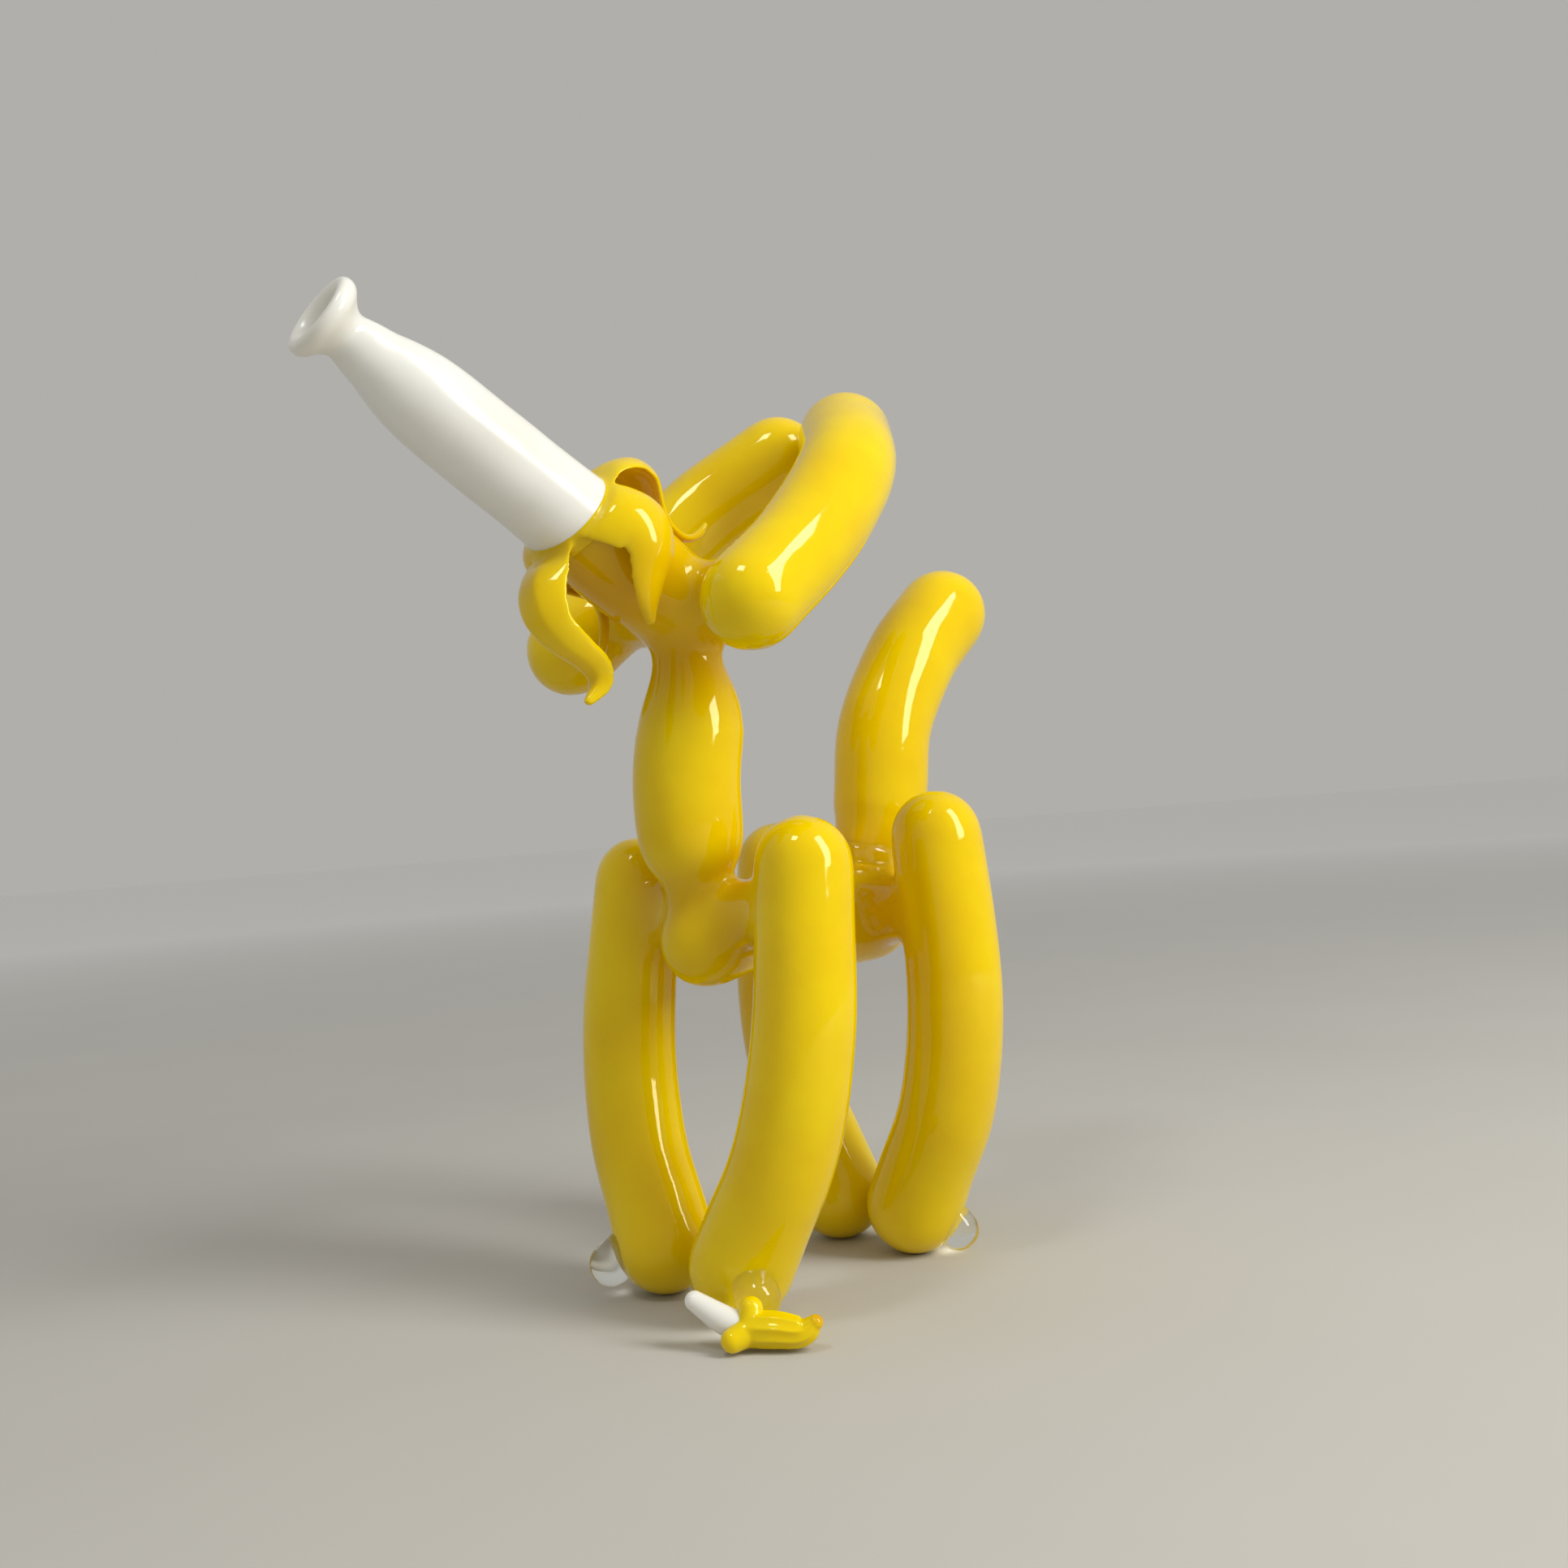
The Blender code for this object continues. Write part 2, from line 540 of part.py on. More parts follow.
def build_charm(leg, yellow, white):
    """Hang the small half-peeled fruit on the left front drop: ridged skin, two flaps, bare fruit."""
    along = Vector((math.cos(CHARM_TURN), math.sin(CHARM_TURN), 0.0))
    outward = Vector((math.sin(CHARM_TURN), -math.cos(CHARM_TURN), 0.0))
    up = Vector((0.0, 0.0, 1.0))
    drop = drop_points("front_left", leg[0])
    waist = drop[-1] + outward * CHARM_REACH + along * CHARM_OFFSET
    waist.z = CHARM_FLOOR_GAP + CHARM_SKIN_RADIUS + CHARM_SKIN_SAG

    skin_points = [waist, waist + along * CHARM_SKIN_LENGTH * 0.4 - up * CHARM_SKIN_SAG,
                   waist + along * CHARM_SKIN_LENGTH * 0.8 - up * CHARM_SKIN_SAG,
                   waist + along * CHARM_SKIN_LENGTH + up * CHARM_STALK_LIFT]
    skin_radii = [CHARM_SKIN_RADIUS, CHARM_SKIN_RADIUS, CHARM_SKIN_RADIUS * 0.75, CHARM_STALK_RADIUS]
    skin = tube("charm_skin", skin_points, skin_radii, yellow, sides=SMALL_SIDES, steps=CHARM_STEPS)
    upper = waist + up * CHARM_FLAP_RISE - outward * CHARM_FLAP_LEAN
    lower = waist - along * CHARM_FLAP_SPREAD + outward * CHARM_FLAP_REACH
    lower.z = CHARM_FLOOR_GAP + CHARM_FLAP_RADIUS
    flaps = {"upper": [waist, (waist + upper) / 2, upper], "lower": [waist, (waist + lower) / 2, lower]}
    flap_radii = [CHARM_FLAP_RADIUS] * 3
    for name, points in flaps.items():
        flap = tube("charm_flap_" + name, points, flap_radii, yellow, sides=SMALL_SIDES, steps=FLAP_STEPS)
        boolean(skin, flap, "UNION")

    fruit_points = [waist - along * CHARM_SKIN_RADIUS * 0.3,
                    waist - along * CHARM_FRUIT_LENGTH / 2 + up * CHARM_FRUIT_RISE * CHARM_FRUIT_BOW,
                    waist - along * CHARM_FRUIT_LENGTH + up * CHARM_FRUIT_RISE]
    fruit_radii = [CHARM_FRUIT_RADIUS * taper for taper in CHARM_FRUIT_TAPER]
    fruit = tube("charm_fruit", fruit_points, fruit_radii, white, sides=SMALL_SIDES, steps=CHARM_STEPS)
    boolean(fruit, tube("charm_skin_clearance", skin_points, swollen(skin_radii), white,
                        sides=SMALL_SIDES, steps=CHARM_STEPS), "DIFFERENCE")
    for name, points in flaps.items():
        boolean(fruit, tube("charm_flap_clearance_" + name, points, swollen(flap_radii), white,
                            sides=SMALL_SIDES, steps=FLAP_STEPS), "DIFFERENCE")
    for piece in (skin, fruit):
        boolean(piece, tube("drop_clearance_" + piece.name, drop, swollen(DROP_RADII), white,
                            sides=DROP_SIDES, steps=DROP_STEPS), "DIFFERENCE")
        boolean(piece, tube("paw_clearance_" + piece.name, leg, swollen(LEG_RADII), white, steps=LEG_STEPS),
                "DIFFERENCE")


def stand_on_middle():
    """Parent every piece to an empty that stands on the floor under the middle of the dog."""
    base = bpy.data.objects.new("balloon_dog", None)
    bpy.context.scene.collection.objects.link(base)
    bpy.context.view_layer.update()
    low = Vector((math.inf,) * 3)
    high = Vector((-math.inf,) * 3)
    graph = bpy.context.evaluated_depsgraph_get()
    for piece in bpy.data.objects:
        if piece.type == "MESH" and not piece.hide_render:
            for vert in piece.evaluated_get(graph).data.vertices:
                place = piece.matrix_world @ vert.co
                low = Vector(map(min, low, place))
                high = Vector(map(max, high, place))
    for piece in bpy.data.objects:
        if piece.type == "MESH":
            piece.parent = base
    base.location = (-(low.x + high.x) / 2, -(low.y + high.y) / 2, -low.z)


def main():
    """Build the dog and stand it on the middle of its own base."""
    clear_scene()
    yellow = glass("yellow glass", YELLOW)
    white = glass("white glass", WHITE)
    clear = glass("clear glass", CLEAR, transmission=1.0)
    body, legs, chest, rump, seat, forward = build_body(yellow)
    build_snout(seat, forward, white)
    build_tail_ring(chest, rump, clear)
    for name, leg in legs.items():
        build_drop(name, leg, clear)
    build_charm(legs["front_left"], yellow, white)
    stand_on_middle()


main()
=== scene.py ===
# %% [markdown]
# # A balloon dog in yellow glass
#
# The real object is an ornament a little over twenty centimetres tall. Its maker blew ten yellow bubbles
# and melted them together in the way that a twisted balloon is built: torso, four legs, neck, head, two
# ears and a tail. A white glass snout stands in a half-peeled skin at the front of the head, and small
# clear drops sit on the feet.
#
# This file rebuilds it piece by piece on the imported solids. The solids give every place and size, so the
# first step is to load them.

import math

import bmesh
import bpy
from mathutils import Matrix, Vector, noise


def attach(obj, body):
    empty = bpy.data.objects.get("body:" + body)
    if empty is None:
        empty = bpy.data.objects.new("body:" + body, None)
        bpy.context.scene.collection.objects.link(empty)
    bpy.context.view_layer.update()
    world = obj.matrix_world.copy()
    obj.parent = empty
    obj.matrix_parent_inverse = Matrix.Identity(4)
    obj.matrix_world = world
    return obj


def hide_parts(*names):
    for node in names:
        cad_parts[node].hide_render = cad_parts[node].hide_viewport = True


MM = 0.001
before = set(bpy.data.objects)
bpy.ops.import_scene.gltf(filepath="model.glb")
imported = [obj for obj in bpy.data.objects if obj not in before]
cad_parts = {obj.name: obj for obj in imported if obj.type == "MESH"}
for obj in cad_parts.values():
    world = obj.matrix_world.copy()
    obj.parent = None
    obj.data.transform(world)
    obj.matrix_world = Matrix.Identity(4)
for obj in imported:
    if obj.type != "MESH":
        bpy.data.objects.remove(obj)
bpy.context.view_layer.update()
print("solids:", sorted(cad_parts))

# %% [markdown]
# ## The camera
#
# The photograph was taken from the front left of the dog, a little over a third of a metre away and about
# level with its back. A camera could be pointed with a Track To constraint. Here its three axes are written
# down instead, because a hand-held camera is also rolled by a few degrees, and the axes hold the roll as
# well.

# %% Place the camera
CAMERA_PLACE = Vector((277.02, -232.10, 109.14)) * MM
CAMERA_RIGHT = Vector((0.672878, 0.735744, -0.076923))
CAMERA_UP = Vector((0.069879, 0.040302, 0.996741))
CAMERA_LENS = 34.86
CAMERA_SENSOR = 36.0
CAMERA_NEAREST = 10.0 * MM

camera_data = bpy.data.cameras.new("camera")
camera_data.lens = CAMERA_LENS
camera_data.sensor_width = CAMERA_SENSOR
camera_data.clip_start = CAMERA_NEAREST
camera = bpy.data.objects.new("camera", camera_data)
bpy.context.scene.collection.objects.link(camera)
axes = Matrix((CAMERA_RIGHT, CAMERA_UP, CAMERA_RIGHT.cross(CAMERA_UP))).transposed()
camera.matrix_world = Matrix.Translation(CAMERA_PLACE) @ axes.to_4x4()
bpy.context.scene.camera = camera
print("camera:", [round(x, 3) for x in camera.location])

# %% [markdown]
# ## The floor
#
# The floor is stage, not part of the dog. It could be a single huge plane. A wide round sheet does the same
# with nothing to see at its edge. A faint mottle keeps it from looking like paper cut out of one colour,
# and further off it fades to almost white, so that it runs into the pale room behind the dog.

# %% Lay the floor
FLOOR_RADIUS = 12.0
FLOOR_SIDES = 96
MOTTLE_DARK = (0.50, 0.49, 0.46, 1.0)
MOTTLE_LIGHT = (0.54, 0.53, 0.50, 1.0)
MOTTLE_SCALE = 9.0
FAR_COLOUR = (0.97, 0.97, 0.97, 1.0)
FADE_START = 0.35
FADE_END = 2.2

floor_look = bpy.data.materials.new("pale_floor")
floor_look.use_nodes = True
floor_nodes = floor_look.node_tree.nodes
floor_links = floor_look.node_tree.links
floor_shader = floor_nodes["Principled BSDF"]
floor_shader.inputs["Roughness"].default_value = 0.75
floor_shader.inputs["Specular IOR Level"].default_value = 0.2
floor_place = floor_nodes.new("ShaderNodeTexCoord")
floor_mottle = floor_nodes.new("ShaderNodeTexNoise")
floor_mottle.inputs["Scale"].default_value = MOTTLE_SCALE
floor_mottle.inputs["Detail"].default_value = 4.0
floor_far = floor_nodes.new("ShaderNodeVectorMath")
floor_far.operation = "LENGTH"
floor_reach = floor_nodes.new("ShaderNodeMapRange")
floor_reach.inputs["From Min"].default_value = FADE_START
floor_reach.inputs["From Max"].default_value = FADE_END
floor_near_tint = floor_nodes.new("ShaderNodeValToRGB")
floor_near_tint.color_ramp.elements[0].color = MOTTLE_DARK
floor_near_tint.color_ramp.elements[1].color = MOTTLE_LIGHT
floor_tint = floor_nodes.new("ShaderNodeMix")
floor_tint.data_type = "RGBA"
floor_tint.inputs["B"].default_value = FAR_COLOUR
floor_links.new(floor_place.outputs["Object"], floor_mottle.inputs["Vector"])
floor_links.new(floor_place.outputs["Object"], floor_far.inputs[0])
floor_links.new(floor_far.outputs["Value"], floor_reach.inputs["Value"])
floor_links.new(floor_mottle.outputs["Fac"], floor_near_tint.inputs["Fac"])
floor_links.new(floor_reach.outputs["Result"], floor_tint.inputs["Factor"])
floor_links.new(floor_near_tint.outputs["Color"], floor_tint.inputs["A"])
floor_links.new(floor_tint.outputs["Result"], floor_shader.inputs["Base Color"])

bm = bmesh.new()
bmesh.ops.create_circle(bm, cap_ends=True, segments=FLOOR_SIDES, radius=FLOOR_RADIUS)
floor_mesh = bpy.data.meshes.new("floor")
bm.to_mesh(floor_mesh)
bm.free()
floor_mesh.materials.append(floor_look)
floor = bpy.data.objects.new("floor", floor_mesh)
bpy.context.scene.collection.objects.link(floor)
print("floor:", FLOOR_RADIUS * 2, "m across")

# %% [markdown]
# ## The light
#
# Glass shows its lamps as much as its own colour. Each bubble in the photograph carries a tall white streak
# on its right and a small one on its upper left. Point lamps would only leave dots, so there are two soft
# boxes: a tall one out to the right of the camera, and a small one high up in front of the dog. The room
# around them stays dim, so that the streaks stand out.

# %% Hang two soft boxes
MAIN_DIRECTION = Vector((0.80, 0.265, 0.53))
MAIN_DISTANCE = 0.9
MAIN_SIZE = (0.25, 0.75)
MAIN_POWER = 7.0
MAIN_COLOUR = (1.0, 0.99, 0.96)
SECOND_DIRECTION = Vector((0.125, -0.43, 0.89))
SECOND_DISTANCE = 0.9
SECOND_SIZE = (0.17, 0.17)
SECOND_POWER = 1.2
SECOND_COLOUR = (1.0, 0.99, 0.97)
LIT_POINT = Vector((0.0, 10.0, 115.0)) * MM
ROOM_COLOUR = (0.95, 0.93, 0.88, 1.0)
ROOM_STRENGTH = 0.46


def soft_box(name, direction, distance, size, power, colour):
    """Hang a rectangular lamp that faces the dog, upright."""
    data = bpy.data.lights.new(name, "AREA")
    data.shape = "RECTANGLE"
    data.size = size[0]
    data.size_y = size[1]
    data.energy = power
    data.color = colour
    lamp = bpy.data.objects.new(name, data)
    bpy.context.scene.collection.objects.link(lamp)
    away = direction.normalized()
    lamp.matrix_world = (Matrix.Translation(LIT_POINT + away * distance)
                         @ away.to_track_quat("Z", "Y").to_matrix().to_4x4())
    lamp.visible_camera = False


soft_box("main_light", MAIN_DIRECTION, MAIN_DISTANCE, MAIN_SIZE, MAIN_POWER, MAIN_COLOUR)
soft_box("second_light", SECOND_DIRECTION, SECOND_DISTANCE, SECOND_SIZE, SECOND_POWER, SECOND_COLOUR)

room = bpy.data.worlds.new("room")
room.use_nodes = True
room.node_tree.nodes["Background"].inputs["Color"].default_value = ROOM_COLOUR
room.node_tree.nodes["Background"].inputs["Strength"].default_value = ROOM_STRENGTH
bpy.context.scene.world = room
bpy.context.scene.view_settings.view_transform = "Standard"
print("main light", MAIN_POWER, "W, second light", SECOND_POWER, "W")

# %% [markdown]
# ## Yellow glass
#
# The dog is blown from opaque yellow rod. It is glossy, it lets a little light in under its skin, and where
# two bubbles are melted together it is thicker and turns amber. The colour could be painted on. Here two
# soft noises vary it as the rod does, and a value that each vertex holds leads it to amber at the joins and
# under the head: partly the amber of thicker glass, partly painted shade in the creases and under the jaw.
# The skin is never quite flat: a slow ripple and a few specks of trapped air go through a Bump node.

# %% Mix the yellow glass
YELLOW = (0.86, 0.635, 0.0, 1.0)
YELLOW_DEEP = (0.80, 0.54, 0.0, 1.0)
# Amber of thicker glass at the joins, and painted shade in the creases and under the head
AMBER_AND_SHADE = (0.66, 0.33, 0.003, 1.0)
SPECK_REACH = 0.09
SPECK_STRENGTH = 0.6


def add_node(material, kind, **values):
    """Add a shader node and set some of its inputs by name."""
    node = material.node_tree.nodes.new(kind)
    for name, value in values.items():
        node.inputs[name.replace("_", " ")].default_value = value
    return node


def glass_base(name, roughness, ior):
    """Start a glossy material and give its shader the values that are the same all over."""
    material = bpy.data.materials.new(name)
    material.use_nodes = True
    shader = material.node_tree.nodes["Principled BSDF"]
    shader.inputs["Roughness"].default_value = roughness
    shader.inputs["IOR"].default_value = ior
    return material, shader


def rippled(material, shader, place, ripple_scale, ripple_height, speck_scale, speck_height):
    """Give the surface a slow ripple and a few small raised specks."""
    links = material.node_tree.links
    ripple = add_node(material, "ShaderNodeTexNoise", Scale=ripple_scale, Detail=2.0)
    links.new(place.outputs["Object"], ripple.inputs["Vector"])
    wave = add_node(material, "ShaderNodeBump", Strength=1.0, Distance=ripple_height)
    links.new(ripple.outputs["Fac"], wave.inputs["Height"])
    cells = add_node(material, "ShaderNodeTexVoronoi", Scale=speck_scale)
    links.new(place.outputs["Object"], cells.inputs["Vector"])
    speck = add_node(material, "ShaderNodeMapRange")
    speck.inputs["From Min"].default_value = 0.0
    speck.inputs["From Max"].default_value = SPECK_REACH
    speck.inputs["To Min"].default_value = 1.0
    speck.inputs["To Max"].default_value = 0.0
    links.new(cells.outputs["Distance"], speck.inputs["Value"])
    dot = add_node(material, "ShaderNodeBump", Strength=SPECK_STRENGTH, Distance=speck_height)
    links.new(speck.outputs["Result"], dot.inputs["Height"])
    links.new(wave.outputs["Normal"], dot.inputs["Normal"])
    links.new(dot.outputs["Normal"], shader.inputs["Normal"])


yellow_glass, shader = glass_base("yellow_glass", 0.05, 1.5)
shader.inputs["Subsurface Weight"].default_value = 0.25
shader.inputs["Subsurface Radius"].default_value = (1.0, 0.55, 0.05)
shader.inputs["Subsurface Scale"].default_value = 0.004
shader.inputs["Specular IOR Level"].default_value = 0.42
shader.inputs["Specular Tint"].default_value = (1.0, 0.93, 0.55, 1.0)
shader.inputs["Coat Weight"].default_value = 0.1
shader.inputs["Coat Roughness"].default_value = 0.03
links = yellow_glass.node_tree.links
place = add_node(yellow_glass, "ShaderNodeTexCoord")
streaks = add_node(yellow_glass, "ShaderNodeTexNoise", Scale=38.0, Detail=3.0, Roughness=0.55)
links.new(place.outputs["Object"], streaks.inputs["Vector"])
rod = add_node(yellow_glass, "ShaderNodeValToRGB")
rod.color_ramp.elements[0].position = 0.3
rod.color_ramp.elements[0].color = YELLOW_DEEP
rod.color_ramp.elements[1].position = 0.65
rod.color_ramp.elements[1].color = YELLOW
links.new(streaks.outputs["Fac"], rod.inputs["Fac"])
# Painted shade and thicker glass: a per-vertex value mixes amber in at the joins, in creases and under the
# head
seal_and_shade = add_node(yellow_glass, "ShaderNodeAttribute")
seal_and_shade.attribute_name = "seal_and_shade"
thick = add_node(yellow_glass, "ShaderNodeMix")
thick.data_type = "RGBA"
links.new(seal_and_shade.outputs["Fac"], thick.inputs["Factor"])
links.new(rod.outputs["Color"], thick.inputs["A"])
thick.inputs["B"].default_value = AMBER_AND_SHADE
links.new(thick.outputs["Result"], shader.inputs["Base Color"])
grain = add_node(yellow_glass, "ShaderNodeTexNoise", Scale=900.0, Detail=2.0)
links.new(place.outputs["Object"], grain.inputs["Vector"])
polish = add_node(yellow_glass, "ShaderNodeMapRange")
polish.inputs["To Min"].default_value = 0.035
polish.inputs["To Max"].default_value = 0.085
links.new(grain.outputs["Fac"], polish.inputs["Value"])
links.new(polish.outputs["Result"], shader.inputs["Roughness"])
rippled(yellow_glass, shader, place, ripple_scale=70.0, ripple_height=0.00012,
        speck_scale=260.0, speck_height=0.00005)
print("yellow glass:", len(yellow_glass.node_tree.nodes), "nodes")

# %% [markdown]
# ## White glass
#
# The snout and the little fruit are opal: milk-white glass that light enters and leaves again, so its
# shaded side never goes hard. A plain pale colour would look like paint. Subsurface scattering lets the
# light in, and a faint warm cloud in the colour and a softer polish than the yellow's keep it from looking
# like plastic.

# %% Mix the white glass
MILK_WARM = (0.80, 0.79, 0.73, 1.0)
MILK_PALE = (0.86, 0.86, 0.82, 1.0)

white_glass, shader = glass_base("white_glass", 0.24, 1.5)
shader.inputs["Subsurface Weight"].default_value = 0.35
shader.inputs["Subsurface Radius"].default_value = (1.0, 0.9, 0.7)
shader.inputs["Subsurface Scale"].default_value = 0.003
shader.inputs["Coat Weight"].default_value = 0.12
shader.inputs["Coat Roughness"].default_value = 0.08
links = white_glass.node_tree.links
place = add_node(white_glass, "ShaderNodeTexCoord")
cloud = add_node(white_glass, "ShaderNodeTexNoise", Scale=55.0, Detail=3.0)
links.new(place.outputs["Object"], cloud.inputs["Vector"])
milk = add_node(white_glass, "ShaderNodeValToRGB")
milk.color_ramp.elements[0].position = 0.3
milk.color_ramp.elements[0].color = MILK_WARM
milk.color_ramp.elements[1].position = 0.7
milk.color_ramp.elements[1].color = MILK_PALE
links.new(cloud.outputs["Fac"], milk.inputs["Fac"])
links.new(milk.outputs["Color"], shader.inputs["Base Color"])
rippled(white_glass, shader, place, ripple_scale=90.0, ripple_height=0.00012,
        speck_scale=300.0, speck_height=0.00003)
print("white glass:", len(white_glass.node_tree.nodes), "nodes")

# %% [markdown]
# ## Clear glass
#
# The drops on the feet and the wrap under the tail are clear rod. A separate Glass shader would do. Here
# they are see-through by the plain values of the same shader as the rest: full transmission, glass's index,
# hardly any roughness. Only the ripple of the melted surface is a node.

# %% Mix the clear glass
clear_glass, shader = glass_base("clear_glass", 0.015, 1.47)
shader.inputs["Base Color"].default_value = (0.96, 0.98, 0.95, 1.0)
shader.inputs["Transmission Weight"].default_value = 1.0
place = add_node(clear_glass, "ShaderNodeTexCoord")
rippled(clear_glass, shader, place, ripple_scale=160.0, ripple_height=0.0003,
        speck_scale=420.0, speck_height=0.00004)
print("clear glass:", len(clear_glass.node_tree.nodes), "nodes")

# %% [markdown]
# ## A line through a few points
#
# A blown bubble bends where the maker bent it, and runs smoothly between. A Bezier curve would do, but its
# handles need placing. A curve that passes through every point it is given needs none, and the same rule
# reads a radius, or any other number, between the numbers given along the way.

# %% Read a smooth line
def on_line(points, share):
    """Find the place at a share, 0 to 1, of a smooth line through some points."""
    steps = len(points) - 1
    place = min(max(share, 0.0) * steps, steps - 1e-9)
    index = int(place)
    t = place - index
    b = points[index]
    c = points[index + 1]
    a = points[index - 1] if index > 0 else b * 2 - c
    d = points[index + 2] if index + 2 <= steps else c * 2 - b
    return 0.5 * (b * 2 + (c - a) * t + (a * 2 - b * 5 + c * 4 - d) * t**2 + (b * 3 - a - c * 3 + d) * t**3)


print("half way along 1, 2, 4:", on_line([1.0, 2.0, 4.0], 0.5))

# %% [markdown]
# ## A bubble
#
# Every long piece of the dog is a tube with round ends. Blender could bevel a curve, but its ends would be
# flat and its radius hard to steer. Here a circle is extruded ring by ring along the line, each ring turned
# to face along it and scaled to the radius there, so the ends can close in a half ball. The last holes are
# then filled.

# %% Blow a bubble
BUBBLE_SIDES = 56
END_RINGS = 9
FIRST_RING = 0.4


def bubble(bm, points, radii, steps=48, sides=BUBBLE_SIDES, round_start=True, round_end=True, ridge=None):
    """Add a tube of changing radius along a smooth line; ridge(angle, share) may reshape its rings."""
    span = [(on_line(points, i / steps), on_line(radii, i / steps)) for i in range(steps + 1)]
    turns = [math.radians(90.0 * (i + FIRST_RING) / (END_RINGS + FIRST_RING)) for i in range(END_RINGS)]
    first, first_radius = span[0]
    last, last_radius = span[-1]
    back = (first - span[1][0]).normalized()
    ahead = (last - span[-2][0]).normalized()
    rings = list(span)
    if round_start:
        rings = [(first + back * first_radius * math.cos(a), first_radius * math.sin(a))
                 for a in turns] + rings
    if round_end:
        turns.reverse()
        rings += [(last + ahead * last_radius * math.cos(a), last_radius * math.sin(a)) for a in turns]

    ring = bmesh.ops.create_circle(bm, segments=sides, radius=1.0)["verts"]
    edges = list({edge for vert in ring for edge in vert.link_edges})
    ends = [edges]
    turn = (rings[1][0] - rings[0][0]).to_track_quat("Z", "Y")
    before = Matrix.Identity(4)
    for index, (centre, radius) in enumerate(rings):
        line = rings[min(index + 1, len(rings) - 1)][0] - rings[max(index - 1, 0)][0]
        forward = turn @ Vector((0.0, 0.0, 1.0))
        turn = forward.rotation_difference(line) @ turn
        place = Matrix.Translation(centre) @ turn.to_matrix().to_4x4() @ Matrix.Scale(radius, 4)
        if index > 0:
            grown = bmesh.ops.extrude_edge_only(bm, edges=edges)["geom"]
            ring = [item for item in grown if isinstance(item, bmesh.types.BMVert)]
            edges = [item for item in grown if isinstance(item, bmesh.types.BMEdge) and item.is_boundary]
        bmesh.ops.transform(bm, matrix=place @ before.inverted(), verts=ring)
        before = place
        if ridge:
            for vert in ring:
                local = place.inverted() @ vert.co
                angle = math.atan2(local.y, local.x)
                spoke = (vert.co - centre).normalized()
                vert.co = centre + spoke * radius * ridge(angle, index / (len(rings) - 1))
    ends.append(edges)
    for hole in ends:
        bmesh.ops.holes_fill(bm, edges=[edge for edge in hole if edge.is_valid], sides=sides)


print("a bubble has", BUBBLE_SIDES, "sides and", END_RINGS, "rings at each round end")

# %% [markdown]
# ## Torso and legs
#
# The torso is one short bubble between two pairs of legs, drawn in a little behind the chest. Each leg is a
# bowed bubble, melted to the torso's side well below its own round top, and the feet of a pair come close
# together. A leg could be drawn by hand as a curve. Here a few shares of its height say how far out it
# bows, because no two legs of the real dog stand quite alike, and each can then have its own rise and its
# own step forward. A short waist joins each leg to the torso, and the front pair's sits a little higher,
# where the neck comes in.

# %% Blow the torso and the legs
TORSO_MIDDLE = Vector((0.0, 20.9, 82.5)) * MM
TORSO_LENGTH = 54.0 * MM
TORSO_RADII = [11.0 * MM, 8.8 * MM, 10.4 * MM, 11.0 * MM, 11.0 * MM]
LEG_TOP_HEIGHT = 98.5
FOOT_HEIGHT = 11.4
LEG_RADII = [11.9 * MM, 11.5 * MM, 11.5 * MM, 11.0 * MM]
LEG_BOW = ((0.0, 0.0), (0.1, 0.30), (0.3, 0.87), (0.6, 1.15), (1.0, 1.0))
HIP_RISE = 3.5 * MM
SHOULDER_RISE = 8.0 * MM
HIP_RADII = [9.4 * MM, 8.2 * MM, 9.4 * MM]
HEIGHT_STEPS = 400

# Each seal has its middle, then its radius, how amber it is, and how many radii out it flows when melted.
# Its amber is partly thicker glass and partly painted shade in the crease.
HIP_SEAL = (12.0 * MM, 0.8, 1.1)

chest = TORSO_MIDDLE - Vector((0.0, TORSO_LENGTH / 2, 0.0))
rump = TORSO_MIDDLE + Vector((0.0, TORSO_LENGTH / 2, 0.0))


def leg_line(side, y, spread, foot_spread, rise, step):
    """Give the points of a leg's middle line from its foot to its top; lengths are in millimetres."""
    top = LEG_TOP_HEIGHT + rise
    points = []
    for height, outward in LEG_BOW:
        x = foot_spread + (spread - foot_spread) * outward
        z = FOOT_HEIGHT + (top - FOOT_HEIGHT) * height
        points.append(Vector((side * x, y - step * (1.0 - height), z)) * MM)
    return points


legs = {
    "front_left": leg_line(1, -1.7, 30.3, 15.2, 0.8, 14.0),
    "front_right": leg_line(-1, -1.7, 30.3, 15.2, -1.4, 11.4),
    "rear_left": leg_line(1, 44.5, 29.0, 13.0, 4.4, 1.2),
    "rear_right": leg_line(-1, 44.5, 29.0, 13.0, -0.4, 1.7),
}


def at_height(points, height):
    """Find the place on a rising line at one height."""
    places = [on_line(points, i / HEIGHT_STEPS) for i in range(HEIGHT_STEPS + 1)]
    return min(places, key=lambda place: abs(place.z - height))


body = bmesh.new()
seals = []
bubble(body, [chest, TORSO_MIDDLE, rump], TORSO_RADII)
for name, points in legs.items():
    bubble(body, points, LEG_RADII, steps=72)
    rise = SHOULDER_RISE if name.startswith("front") else HIP_RISE
    joint = at_height(points, TORSO_MIDDLE.z + rise)
    inside = Vector((0.0, joint.y, TORSO_MIDDLE.z + rise / 2))
    bubble(body, [inside, (inside + joint) / 2, joint], HIP_RADII, steps=16,
           round_start=False, round_end=False)
    seals.append((inside.lerp(joint, 0.5), *HIP_SEAL))
print("legs:", len(legs), "faces so far:", len(body.faces))

# %% [markdown]
# ## Neck and head
#
# The neck is the dog's most shapely bubble: pinched to little over half its width at the chest, swelling at
# once, straight for a while, then drawn in again under the head. It could be turned like a vase, but its
# middle line sways, so it is a bubble whose radius is read from a row of shares between its pinch and its
# full width. The head is a straight bubble that tips up towards the snout. Its back end is where the neck
# and both ears are sealed.

